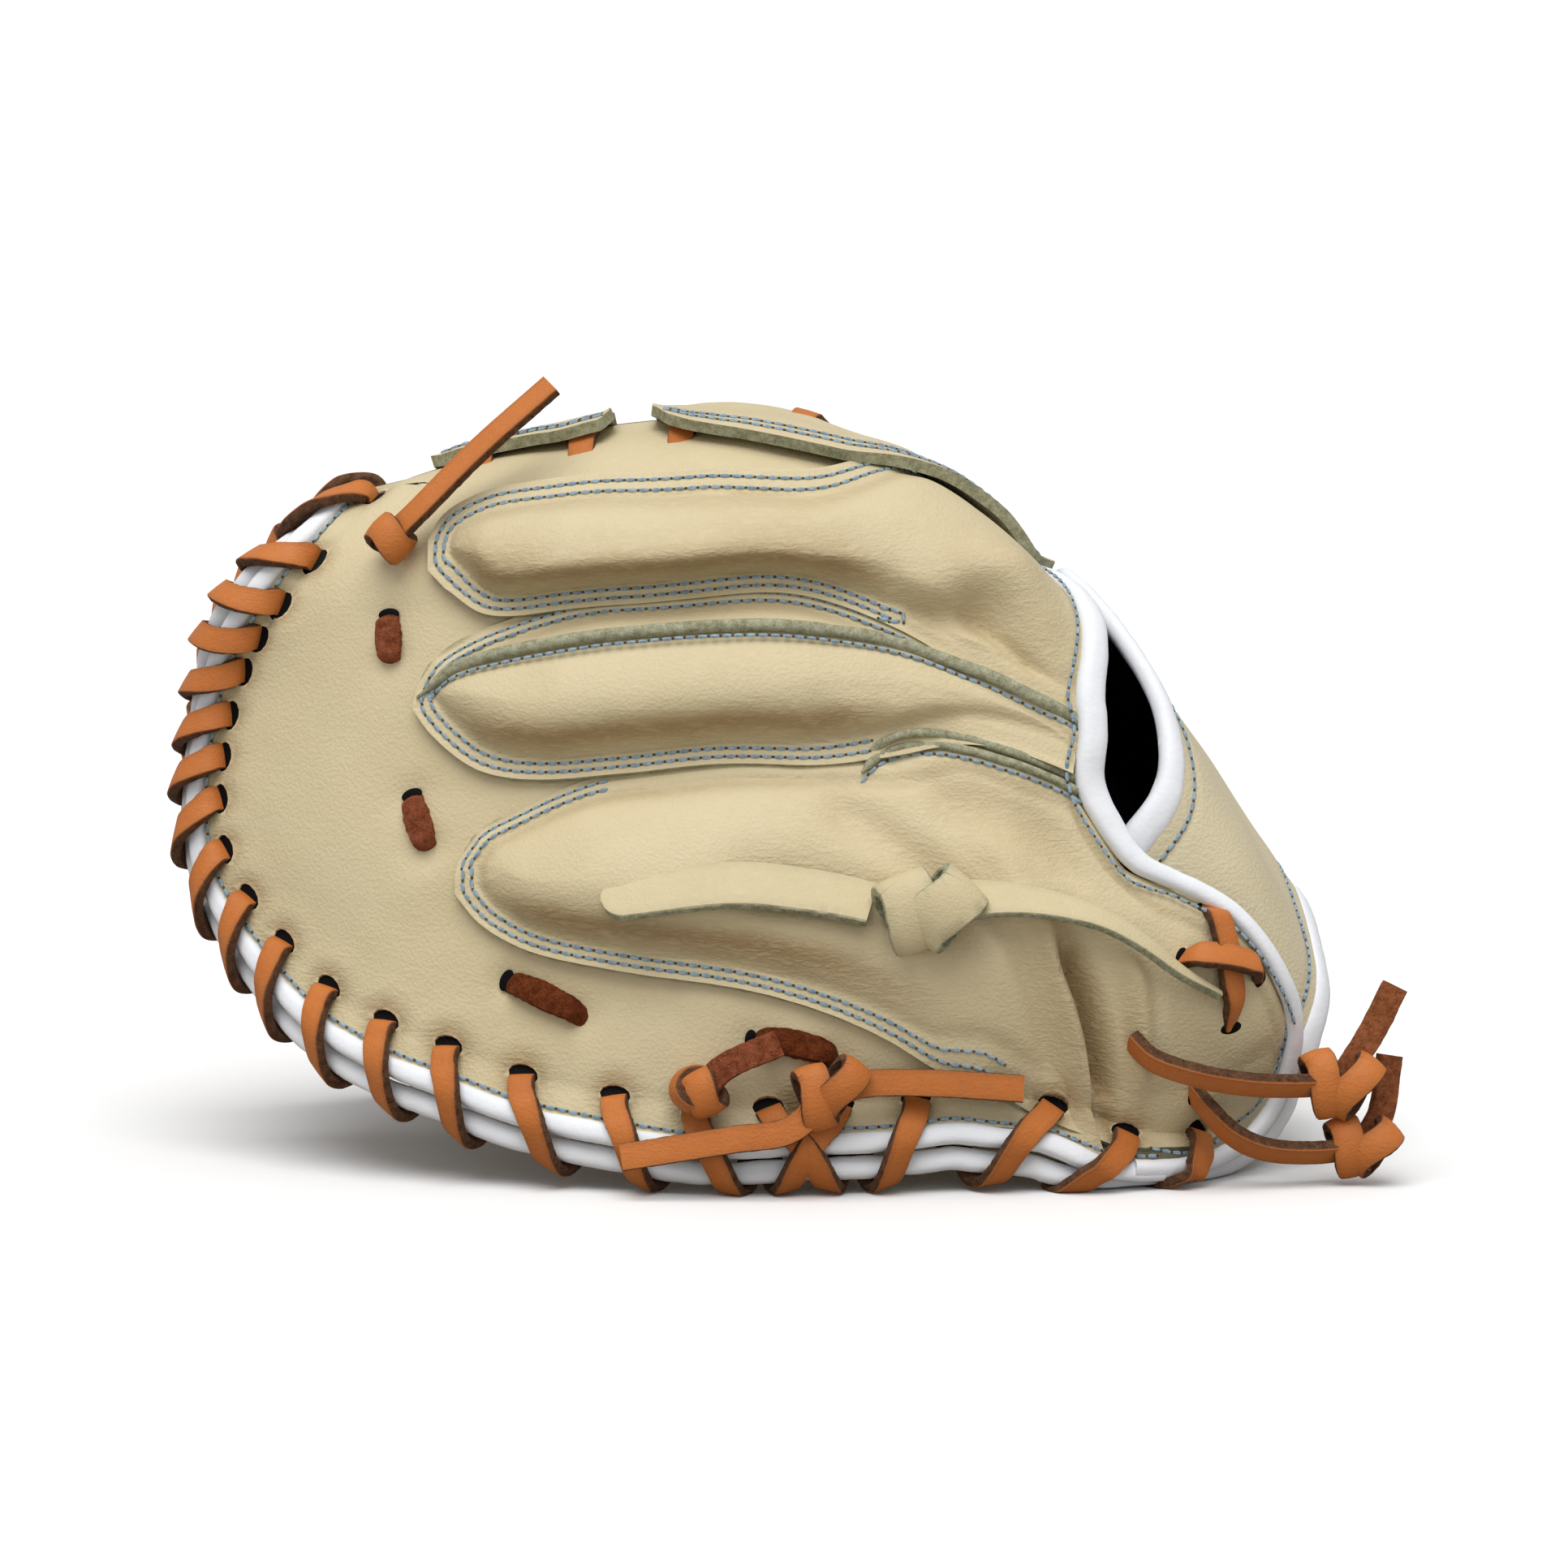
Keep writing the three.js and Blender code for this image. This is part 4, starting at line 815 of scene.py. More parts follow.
def new_material(name):
    material = bpy.data.materials.new(name)
    material.use_nodes = True
    tree = material.node_tree
    return material, tree, tree.nodes["Principled BSDF"]


def place_group(tree, group, **inputs):
    made = tree.nodes.new("ShaderNodeGroup")
    made.node_tree = group
    for key, value in inputs.items():
        feed(tree, made.inputs[key.replace("_", " ")], value)
    return made.outputs


def attribute(tree, name):
    return add_node(tree, "ShaderNodeAttribute", {"attribute_name": name}).outputs["Fac"]


def smooth_leather(name, light, dark, shade_colour, grain, specular=0.35, pores=1100.0):
    material, tree, shader = new_material(name)
    # This attribute sets the wrinkles and the share of painted shade in the leather
    crease = attribute(tree, "crease")
    look = place_group(
        tree, LEATHER_GROUP, Light=light, Dark=dark, Shade=shade_colour, Crease=crease, Grain_Depth=grain,
        Pore_Scale=pores,
    )
    tree.links.new(look["Color"], shader.inputs["Base Color"])
    tree.links.new(look["Roughness"], shader.inputs["Roughness"])
    tree.links.new(look["Normal"], shader.inputs["Normal"])
    shader.inputs["Specular IOR Level"].default_value = specular
    return material


def palm_leather(name, light, dark, shade_colour):
    """Smooth leather outside and black cloth where the attribute marks the inside."""
    material = smooth_leather(name, light, dark, shade_colour, 0.45)
    tree = material.node_tree
    shader = tree.nodes["Principled BSDF"]
    outer = shader.inputs["Base Color"].links[0].from_socket
    black = mix_colour(tree, attribute(tree, "inside"), outer, BLACK_CLOTH)
    tree.links.new(black, shader.inputs["Base Color"])
    return material


def rough_leather(name, light, dark, depth):
    material, tree, shader = new_material(name)
    look = place_group(tree, SUEDE_GROUP, Light=light, Dark=dark, Depth=depth)
    tree.links.new(look["Color"], shader.inputs["Base Color"])
    tree.links.new(look["Normal"], shader.inputs["Normal"])
    shader.inputs["Roughness"].default_value = 0.92
    shader.inputs["Specular IOR Level"].default_value = 0.15
    return material


def lace_leather(name, skin_light, skin_dark, flesh_light, flesh_dark):
    """Rawhide lace: smooth skin on one side, rough dark flesh on its edges and its other side."""
    material, tree, shader = new_material(name)
    # The skin's fixed Crease of 0.15 gives light wrinkles and a little painted shade in the flesh colour
    skin = place_group(
        tree, LEATHER_GROUP, Light=skin_light, Dark=skin_dark, Shade=flesh_light, Crease=0.15,
        Grain_Depth=0.35, Pore_Scale=1500.0,
    )
    flesh = place_group(tree, SUEDE_GROUP, Light=flesh_light, Dark=flesh_dark, Depth=0.8)
    share = attribute(tree, "flesh")
    both = mix_colour(tree, share, skin["Color"], flesh["Color"])
    tree.links.new(both, shader.inputs["Base Color"])
    rough = calculate(tree, "ADD", skin["Roughness"], calculate(tree, "MULTIPLY", share, 0.4), True)
    tree.links.new(rough, shader.inputs["Roughness"])
    tree.links.new(skin["Normal"], shader.inputs["Normal"])
    shader.inputs["Specular IOR Level"].default_value = 0.35
    return material


BROWN_SHADE = colour(132, 98, 54)
WHITE_SHADE = colour(150, 156, 168)
BLACK = (BLACK_CLOTH, colour(5, 5, 6), colour(2, 2, 2))
PALE_CREAM = (colour(222, 210, 177), colour(207, 191, 153))
CREAM = smooth_leather("Cream leather", colour(218, 203, 165), colour(201, 181, 138), BROWN_SHADE, 0.45)
CREAM_STRAP = smooth_leather("Cream strap leather", *PALE_CREAM, BROWN_SHADE, 0.45)
RAW_EDGE = rough_leather("Raw edge", colour(186, 185, 158), colour(134, 133, 104), 0.4)
PALM_LEATHER = palm_leather("Palm leather", *PALE_CREAM, BROWN_SHADE)
BINDING = smooth_leather(
    "White binding", colour(246, 248, 252), colour(228, 232, 240), WHITE_SHADE, 0.2, 0.5, 700.0,
)
LINING = smooth_leather("Black lining", *BLACK, 0.3, 0.1)
LACE = lace_leather(
    "Rawhide lace", colour(204, 120, 54), colour(164, 86, 32), colour(108, 74, 50), colour(62, 38, 22),
)
STRAP_LEATHER = lace_leather(
    "Pull strap leather",
    colour(214, 199, 160), colour(196, 178, 136), colour(176, 176, 148), colour(120, 119, 92),
)
ROUGH_LACE = rough_leather("Rough lace", colour(166, 94, 62), colour(112, 56, 32), 0.9)
DARK_LACE = rough_leather("Dark rough lace", colour(132, 66, 32), colour(78, 34, 12), 0.9)
TAIL_FLESH = rough_leather("Suede tail", colour(166, 100, 62), colour(112, 62, 34), 0.8)
THREAD = rough_leather("Thread", colour(172, 193, 208), colour(120, 142, 160), 0.4)
# Dark colour of painted shade in the needle holes between stitches
NEEDLE_HOLE_SHADE = rough_leather("Needle hole shade", colour(104, 96, 74), colour(66, 60, 44), 0.4)


# Leather sheets of the back

class Stall:
    """A finger's raised stall: its outline, its heights and its seams."""

    def __init__(self, table, side, tuck):
        self.table = table
        self.side = side
        self.tuck = tuck
        rows = len(table)
        self.upper = np.stack([table[:, 0], table[:, 1], np.zeros(rows)], -1)
        self.lower = np.stack([table[:, 2], table[:, 3], np.zeros(rows)], -1)
        u = np.linspace(0, 1, 160)
        tip_v = np.linspace(0, 1, 12)[1:-1, None]
        upper, lower = spline(self.upper, u)[:, :2], spline(self.lower, u)[:, :2]
        tip = upper[0] + (lower[0] - upper[0]) * tip_v
        self.outline = np.vstack([upper[::-1], tip, lower])
        self.mid_s = (table[:, 0] + table[:, 2]) / 2

    def spots(self, u, v):
        upper, lower = spline(self.upper, u), spline(self.lower, u)
        bow = np.interp(u, np.linspace(0, 1, len(self.table)), self.table[:, BOW])
        s = upper[..., 0] + (lower[..., 0] - upper[..., 0]) * v + bow * np.sin(math.pi * v)
        return s, upper[..., 1] + (lower[..., 1] - upper[..., 1]) * v

    def from_edge(self, s, t):
        flat = np.stack([np.ravel(s), np.ravel(t)], -1)
        nearest = [np.min(np.hypot(*(self.outline - spot).T)) for spot in flat]
        return np.array(nearest).reshape(np.shape(s))

    def bulge(self, edge, half, power):
        """Share of the bulge: 0 on the flat flange round it and 1 in its middle."""
        room = np.maximum(half - STALL_FLANGE, LEAST_BULGE)
        return np.sin(clamp01((edge - STALL_FLANGE) / room) * math.pi / 2) ** power

    def heights(self, s, t):
        swell = np.interp(s, self.mid_s, self.table[:, SWELL])
        stack = np.interp(s, self.mid_s, self.table[:, STACK])
        u = np.interp(s, self.mid_s, np.linspace(0, 1, len(self.table)))
        half = np.abs(spline(self.upper, u)[..., 1] - spline(self.lower, u)[..., 1]) / 2
        edge = self.from_edge(s, t)
        body = self.bulge(edge, half, 0.75)
        seam = 0.8 * np.exp(-((edge - 6.6) / 1.3) ** 2)
        curl = 0.5 * np.exp(-(edge / 1.2) ** 2)
        flange = smooth(4.0, 9.0, edge)
        rise = swell * 1.12 * body - seam + curl + stack * (STACK_GAP + LEATHER)
        from_upper = np.abs(t - np.interp(s, self.table[:, 0], self.table[:, 1]))
        tucked = self.tuck * np.exp(-((from_upper / 2.6) ** 2))
        return back_height(s, t) + rise - tucked + relief(s, t, self.side) * flange

    def painted_underside_shade(self, s, t):
        """Share of painted shade under the bulge: how near a spot is to the foot of the bulge, above the
        lower seam, from 0 to 1.
        """
        from_lower = np.abs(t - np.interp(s, self.table[:, 2], self.table[:, 3]))
        swell = np.interp(s, self.mid_s, self.table[:, SWELL])
        return np.exp(-(((from_lower - 11.5) / 6.4) ** 2)) * smooth(1.0, 9.0, swell)

    def sheet(self, name, rows, columns, bunch):
        u, v = np.meshgrid(np.linspace(0, 1, rows + 1), np.linspace(0, 1, columns + 1), indexing="ij")
        v = v - bunch * np.sin(2 * math.pi * v) / (2 * math.pi)
        s, t = self.spots(u, v)
        h = self.heights(s, t)
        edge = self.from_edge(s, t)
        # The mask below gives wrinkles and painted shade along the seams and at the foot of the bulge
        seam = 0.4 * np.exp(-((edge - 6.8) / 1.8) ** 2)
        foot_shade = self.painted_underside_shade(s, t)
        crease = np.maximum(np.maximum(crease_mask(s, t, self.side), seam), 0.9 * foot_shade)
        swell = np.interp(s, self.mid_s, self.table[:, SWELL])
        upper_t = np.interp(s, self.table[:, 0], self.table[:, 1])
        lower_t = np.interp(s, self.table[:, 2], self.table[:, 3])
        sag = 0.42 * swell * self.bulge(edge, np.abs(lower_t - upper_t) / 2, 1.4)
        return grid_piece(name, place(s, t + self.side * sag, h), normal(s, t), crease=crease)

    def seam_line(self, inset, keep):
        """The outline moved inwards, as s and t, where keep(s, t) is true."""
        line, along = resampled(self.outline, 1.0)
        inward = np.stack([-along[:, 1], along[:, 0]], -1)
        middle = np.array([np.mean(self.outline[:, 0]), np.mean(self.outline[:, 1])])
        if np.sum(inward * (middle - line)) < 0:
            inward = -inward
        moved = line + inward * inset
        inside = self.from_edge(moved[:, 0], moved[:, 1]) > inset * 0.93
        return moved[inside & keep(moved[:, 0], moved[:, 1])]


INDEX = Stall(INDEX_STALL, FINGER, 0.0)
MIDDLE = Stall(MIDDLE_STALL, FINGER, 2.6)
RING = Stall(RING_STALL, FINGER, 2.6)
THUMB_BODY = Stall(THUMB_STALL, THUMB, 0.0)


def split_runs(line, gap):
    """Pieces of a line, cut where it jumps."""
    steps = np.linalg.norm(np.diff(line, axis=0), axis=1)
    return [run for run in np.split(line, np.nonzero(steps > gap)[0] + 1) if len(run) > 3]


def stitch_spots(row, ups, skipped=0):
    """Places, directions and upward directions of the stitches along a dense row."""
    both, along = resampled(np.hstack([row, ups]), STITCH_PITCH)
    both, along = both[skipped:], along[skipped:]
    return both[:, :3], unit(along[:, :3]), unit(both[:, 3:])


def surface_spots(line, heights, lift):
    """Stitch places along a line of s and t, lifted over a surface that is given by its heights."""
    s, t = line[:, 0], line[:, 1]
    return stitch_spots(place(s, t, heights(s, t) + lift), normal(s, t))


def build_stitches(name, rows):
    """The stitches of all rows as one piece: each a small rounded bar with a small dark body beside it,
    painted shade for its needle hole.
    """
    spots, directions, ups = (np.vstack([row[k] for row in rows]) for k in range(3))
    bpy.ops.mesh.primitive_uv_sphere_add(segments=6, ring_count=4, radius=1)
    unit_stitch = bpy.context.object
    shape = np.array([v.co for v in unit_stitch.data.vertices])
    faces = [tuple(p.vertices) for p in unit_stitch.data.polygons]
    bpy.data.objects.remove(unit_stitch)
    sideways = unit(np.cross(ups, directions))
    ups = unit(np.cross(directions, sideways))
    long_part = np.sign(shape[:, 2]) * np.abs(shape[:, 2]) ** 0.6 * STITCH_LENGTH / 2
    points = (
        spots[:, None]
        + directions[:, None] * long_part[None, :, None]
        + sideways[:, None] * (shape[:, 0] * STITCH_RADIUS * 1.15)[None, :, None]
        + ups[:, None] * (shape[:, 1] * STITCH_RADIUS)[None, :, None]
    )
    # Painted shade: a small dark body halfway to the next stitch, for the needle hole
    holes = (
        (spots + directions * STITCH_PITCH / 2)[:, None]
        + directions[:, None] * (shape[:, 2] * 0.4)[None, :, None]
        + sideways[:, None] * (shape[:, 0] * 0.44)[None, :, None]
        + ups[:, None] * (shape[:, 1] * 0.24)[None, :, None]
    )
    points = np.concatenate([points, holes])
    count = len(shape)
    all_faces = [tuple(i * count + v for v in face) for i in range(len(points)) for face in faces]
    mesh = bpy.data.meshes.new(name)
    mesh.from_pydata(metres(points).reshape(-1, 3).tolist(), [], all_faces)
    mesh.materials.append(THREAD)
    mesh.materials.append(NEEDLE_HOLE_SHADE)
    mesh.polygons.foreach_set("material_index", np.repeat([0, 1], len(all_faces) // 2))
    piece = bpy.data.objects.new(name, mesh)
    bpy.context.collection.objects.link(piece)
    finish(piece, "cream_leather", (), THREAD, NEEDLE_HOLE_SHADE)


def seam_stitches(name, stall, keep, insets=STITCH_ROWS):
    lines = []
    for inset in insets:
        lines += split_runs(stall.seam_line(inset, keep), 4.0)
    build_stitches(name, [surface_spots(line, stall.heights, 0.12) for line in lines])


def hole_plug(rim, distance, sides, half_along, half_out, inset, heights):
    """Sections of an upright oval plug at a lace hole."""
    f = rim.frame(np.array(distance))
    turn = np.linspace(0, 2 * math.pi, sides + 1)[:-1]
    ring = (
        f["tangent"] * (half_along * np.cos(turn))[:, None]
        + f["out"] * (half_out * np.sin(turn) - hole_inset(distance) - inset)[:, None]
    )
    return np.stack([f["origin"] + ring + f["up"] * height for height in heights])


def hole_cutter(side, distances):
    """One mesh of upright oval plugs that cut the lace holes."""
    plugs = [hole_plug(RIMS[side], distance, 12, 4.1, 2.5, 1.4, (-13, 13)) for distance in distances]
    return join("hole_plugs", [tube_piece("plug", plug) for plug in plugs])


def painted_hole_shadows(name, spots, heights):
    """Small black ovals of painted shade where short laces go in. Each spot is s, t and its lace's heading.
    """
    half_aside, half_along = 3.0, 1.7
    parts = []
    for s, t, heading in spots:
        def surface(spot_s, spot_t):
            return place(spot_s, spot_t, heights(spot_s, spot_t))
        spot = np.array([s, s + 0.5, s]), np.array([t, t, t + 0.5])
        corner = surface(*spot)
        steps = np.stack([corner[1] - corner[0], corner[2] - corner[0]], -1) * 2
        up = unit(np.cross(steps[:, 0], steps[:, 1]))
        forward = unit(steps @ np.array([math.cos(heading), math.sin(heading)]))
        aside = np.cross(up, forward)
        radius, turn = np.meshgrid(np.linspace(0.02, 1, 6), np.linspace(0, 2 * math.pi, 25), indexing="ij")
        flat = (
            forward * (half_along * radius * np.cos(turn))[..., None]
            + aside * (half_aside * radius * np.sin(turn))[..., None]
        )
        moved = flat @ np.linalg.pinv(steps).T
        spot_s, spot_t = s + moved[..., 0], t + moved[..., 1]
        points = surface(spot_s, spot_t) + normal(spot_s, spot_t) * (0.25 * (1 - radius**4))[..., None]
        parts.append(grid_piece("hole", points, normal(spot_s, spot_t), crease=0.0 * spot_s))
    return finish(join(name, parts), "lining", (), LINING)


def cut(piece, cutter, operation="DIFFERENCE"):
    apply_modifier(piece, "BOOLEAN", operation=operation, object=cutter, solver="EXACT")
    bpy.data.objects.remove(cutter)


def build_panel(side, name, node, ridge_start, ridge_inner):
    """The outer leather of a side, from its ridge end round the rim to its narrow end."""
    rim = RIMS[side]
    along_rim = np.linspace(0, rim.total * 0.785, 190)
    value = rim.value(along_rim)
    outer = spline(rim.points, value)[:, :2]
    inner = spline(rim.inner, value)[:, :2]
    ridge_s = np.linspace(ridge_start, -100.5, 60)[:-1]
    ridge_outer = np.stack([ridge_s, np.full(len(ridge_s), side * RIDGE_GAP)], -1)
    share = (ridge_s - ridge_s[-1]) / (ridge_s[0] - ridge_s[-1])
    inner_s = inner[0, 0] + (ridge_start - inner[0, 0]) * share
    inner_t = side * (ridge_inner - 4 + 4 * share)
    outer = np.vstack([ridge_outer, outer])
    inner = np.vstack([np.stack([inner_s, inner_t], -1), inner])
    reach = 1.45 + 0.95 * (side > 0) * smooth(76, 48, outer[:, 0])
    v = (-0.035 + (reach[:, None] + 0.035) * np.linspace(0, 1, 42))[..., None]
    flat = outer[:, None] * (1 - v) + inner[:, None] * v
    s, t = flat[..., 0], flat[..., 1]
    edge = v[..., 0] * np.linalg.norm(outer - inner, axis=1)[:, None]
    h = back_height(s, t) + relief(s, t, side) * smooth(-2, 6, edge)
    for tie in TIES if side < 0 else ():
        for end_s, end_t in (tie[0:2], tie[2:4]):
            h = h - 1.4 * np.exp(-(((s - end_s) ** 2 + (t - end_t) ** 2) / 4.5**2))
    piece = grid_piece(name, place(s, t, h), normal(s, t), crease=crease_mask(s, t, side))
    thicken(piece, LEATHER)
    cut(piece, hole_cutter(side, VISIBLE_HOLES[side]))
    return finish(piece, "cream_leather", (node,), CREAM, RAW_EDGE, LINING if side < 0 else CREAM)


build_panel(FINGER, "Finger_side_panel", "back_panel", 34.0, 38.0)
build_panel(THUMB, "Thumb_side_panel", "thumb_panel", 34.0, 34.0)


def hole_shadow_plugs(side):
    """Black plugs of painted shade in the lace holes, just below the leather."""
    parts = []
    for distance in VISIBLE_HOLES[side]:
        sections = hole_plug(RIMS[side], distance, 16, 4.6, 2.9, 1.5, (0.6, EDGE_HEIGHT - 0.9))
        parts.append(tube_piece("back", sections, crease=np.zeros(sections.shape[:2])))
    name = "Finger_hole_shadows" if side < 0 else "Thumb_hole_shadows"
    finish(join(name, parts), "lining", (), LINING)


hole_shadow_plugs(FINGER)
hole_shadow_plugs(THUMB)


def build_stall(stall, name, node, rows, columns, bunch, holes=None):
    piece = stall.sheet(name, rows, columns, bunch)
    thicken(piece, LEATHER)
    if holes is not None:
        cut(piece, hole_cutter(stall.side, holes))
    return finish(piece, "cream_leather", (node,), CREAM, RAW_EDGE, LINING)


build_stall(INDEX, "Index_stall", "index_stall", 150, 56, 0.35)
build_stall(MIDDLE, "Middle_stall", "middle_stall", 140, 50, 0.35)
build_stall(RING, "Ring_stall_and_heel", "ring_stall", 200, 64, 0.25, VISIBLE_HOLES[FINGER][-4:])
build_stall(THUMB_BODY, "Thumb_stall_and_heel", "thumb_stall", 200, 72, 0.2, VISIBLE_HOLES[THUMB][17:])


def build_welt(name, stall, line, offset, half_width, half_height, lift):
    """A raised seam along a line of s and t: cut edges of two leathers."""
    dense = spline(line, np.linspace(0, 1, 150))
    flat, _ = resampled(dense + np.array([0.0, offset]), 1.0)
    height = stall.heights(flat[:, 0], flat[:, 1]) + lift
    middle = place(flat[:, 0], flat[:, 1], height)
    up = normal(flat[:, 0], flat[:, 1])
    along = unit(np.gradient(middle, axis=0))
    out = unit(np.cross(up, along))
    u = np.linspace(0, 1, len(flat))
    ends = 0.25 + 0.75 * smooth(0, 0.06, u)
    welt = round_tube(name, middle, out, up, half_width * ends, half_height * ends, 0.0)
    return finish(welt, "cream_leather", (), RAW_EDGE)


def welt_stitches(name, stall, line, offset):
    dense = spline(line, np.linspace(0.04, 1, 150))
    build_stitches(name, [surface_spots(dense + np.array([0.0, offset]), stall.heights, 0.25)])


build_welt("Welt_upper", MIDDLE, WELT_UPPER, 0.0, 1.7, 2.2, 0.4)
build_welt("Welt_lower_outer", RING, WELT_LOWER, 1.6, 1.2, 1.9, 0.6)
build_welt("Welt_lower_inner", RING, WELT_LOWER, -1.4, 1.2, 1.9, 0.6)
welt_stitches("Welt_upper_stitches", MIDDLE, WELT_UPPER, -2.9)
welt_stitches("Welt_lower_stitches", RING, WELT_LOWER, -3.8)
seam_stitches("Index_stitches", INDEX, lambda s, t: (s < 33) | ((t > -25) & (s < 58)))
seam_stitches("Middle_lower_stitches", MIDDLE, lambda s, t: (t < -78) & (s < 28))
seam_stitches("Middle_upper_stitches", MIDDLE, lambda s, t: (t >= -78) & (s < 38), (2.6, 4.7))
seam_stitches("Ring_stitches", RING, lambda s, t: (s < 64) & ((t < -120) | (s < -35)))
seam_stitches("Thumb_stitches", THUMB_BODY, lambda s, t: (s < 55))


# Palm, web and lining

def palm_thickness(ring):
    rise = smooth(0.05, 0.26, 1 - ring)
    dip = smooth(0.25, 0.7, 1 - ring)
    full = PALM_HEEL_THICKNESS + (PALM_POCKET_THICKNESS - PALM_HEEL_THICKNESS) * dip
    return PALM_RIM_THICKNESS + (full - PALM_RIM_THICKNESS) * rise


def palm_body():
    """The padded palm as a closed body: rings over its inside, round its rim and back below."""
    front = RIMS[FINGER].frame(np.linspace(0, RIMS[FINGER].total, 130))
    rear = RIMS[THUMB].frame(np.linspace(0, RIMS[THUMB].total, 120)[-2::-1])
    around = {key: np.concatenate([front[key], rear[key]]) for key in front}
    rings = np.concatenate([np.linspace(0.05, 0.9, 34), [0.93, 0.955, 0.975]])
    sections = []
    for depth in (0, 1):
        layer = []
        for ring in rings:
            s = 5 + (around["s"] - 5) * ring
            t = around["t"] * ring
            soft = 0.6 * waves(fold(s, t), 30.0, 7.0) * smooth(1.0, 0.8, ring)
            layer.append(place(s, t, -depth * (palm_thickness(ring) + soft)))
        out = overhang(around["s"])[:, None]
        rim = around["origin"] + around["out"] * (out - 1.2) - around["up"] * depth * PALM_RIM_THICKNESS
        layer.append(rim)
        sections.append(layer)
    edge = around["origin"] + around["out"] * overhang(around["s"])[:, None]
    middle = [edge - around["up"] * depth for depth in (1.0, PALM_RIM_THICKNESS - 1.0)]
    return np.stack(sections[0] + middle + sections[1][::-1])


def web_block(grow):
    s = np.linspace(-125, 12 + grow, 30)[:, None]
    ring = np.array([(-1, -22), (1, -22), (1, 6), (0, 6), (-1, 6), (-1, -8)], float)
    sections = place(s, ring[None, :, 0] * (19 + grow), np.broadcast_to(ring[None, :, 1], (30, 6)))
    return tube_piece("web_block", sections)


def build_palm():
    sections = palm_body()
    inside = np.zeros(sections.shape[:2])
    inside[:34] = 1.0
    palm = tube_piece("Palm", sections, crease=0.0 * inside, inside=inside)
    holes = [hole_cutter(side, VISIBLE_HOLES[side]) for side in (FINGER, THUMB)]
    cut(palm, join("palm_holes", holes))
    web = palm.copy()
    web.data = palm.data.copy()
    bpy.context.collection.objects.link(web)
    web.name = "Web"
    cut(palm, web_block(0.4))
    cut(web, web_block(0.0), "INTERSECT")
    finish(palm, "cream_leather", ("palm_pad",), PALM_LEATHER)
    finish(web, "cream_leather", ("web_panel",), PALM_LEATHER)


def build_lining():
    u, v = np.meshgrid(np.linspace(0, 1, 61), np.linspace(0, 1, 41), indexing="ij")
    s = -48 + u * 170
    t = (v - 0.5) * 2 * (56 - 20 * u * u)
    lining = grid_piece("Hand_lining", place(s, t, 3.0), normal(s, t), crease=np.zeros(u.shape))
    thicken(lining, 1.1, 0, 0)
    finish(lining, "lining", ("hand_lining",), LINING)


build_palm()
build_lining()


# Wrist strap

def strap_edge(column):
    return STRAP[:, column : column + 3]


def strap_surface(u, v):
    u, v = np.broadcast_arrays(np.asarray(u, float), np.asarray(v, float))
    rows = np.stack([np.arange(len(STRAP)), STRAP[:, 6]], -1)
    crown = track(rows, 1, u * (len(STRAP) - 1))
    upper, lower = spline(strap_edge(0), u), spline(strap_edge(3), u)
    ahead = spline(strap_edge(0), clamp01(u + 0.01)) - spline(strap_edge(0), clamp01(u - 0.01))
    face = unit(np.cross(lower - upper, ahead))
    spot = upper + (lower - upper) * v[..., None]
    return spot + face * (crown * np.sin(math.pi * v))[..., None], face


def build_strap():
    u, v = np.meshgrid(np.linspace(0, 1, 121), np.linspace(0, 1, 41), indexing="ij")
    spots, face = strap_surface(u, v)
    edge = np.minimum(v, 1 - v)
    uneven = 0.5 * waves(spots, 22.0, 31.0) - 0.5 * np.exp(-((edge - 0.07) / 0.02) ** 2)
    strap = grid_piece("Wrist_strap", spots + face * uneven[..., None], face, crease=0.1 + 0.0 * u)
    thicken(strap, STRAP_THICKNESS, 0, 1)
    finish(strap, "cream_leather", ("wrist_strap",), CREAM_STRAP, LINING)
    along = np.linspace(0, 1, 110)
    rows = []
    for share, edge_name in ((0.0, "upper"), (1.0, "lower")):
        spot, face = strap_surface(along, share)
        other, _ = strap_surface(along, 0.5)
        out = unit(spot - other)
        middle = spot + out * (BINDING_SHIFT + 0.4) - face * STRAP_THICKNESS / 2
        piece_name = f"Strap_{edge_name}_binding"
        roll = round_tube(piece_name, middle, out, face, BINDING_REACH + 0.6, EDGE_BINDING / 2, 0.1)
        finish(roll, "white_binding", (f"strap_{edge_name}_binding",), BINDING)
        rows.append(stitch_spots(*strap_surface(along, abs(share - 0.07))))
    build_stitches("Strap_stitches", rows)


build_strap()


# White bindings

def wrap_pinch(side, distance):
    """How much a lace presses into the bindings at a distance along the rim."""
    pinch = np.zeros(np.shape(distance))
    for start, bottom, _ in WRAPS[side]:
        middle = start + (bottom - start) * 0.75
        pinch = np.maximum(pinch, np.exp(-(((distance - middle) / 4.0) ** 2)))
    return pinch


def rim_roll(side, name, node, start, end, out, up, half_out, half_up):
    """A binding along the rim: above zero on the back, or below zero on the palm's edge."""
    distance = np.arange(start, end, 1.6)
    f = RIMS[side].frame(distance)
    shift = overhang(f["s"]) if up < 0 else np.zeros(len(distance))
    middle = f["origin"] + f["out"] * (out + shift)[:, None] + f["up"] * up
    shrink = 1 - 0.13 * wrap_pinch(side, distance)
    roll = round_tube(name, middle, f["out"], f["up"], half_out * shrink, half_up * shrink, 0.1)
    finish(roll, "white_binding", (node,), BINDING)


def edge_lift(s, t, side):
    """How far the leather's free edge lies above the back: the stalls lie on a layer below them."""
    layer = STACK_GAP + LEATHER
    return layer * smooth(-68, -56, t) * smooth(86, 78, s) * (side < 0)


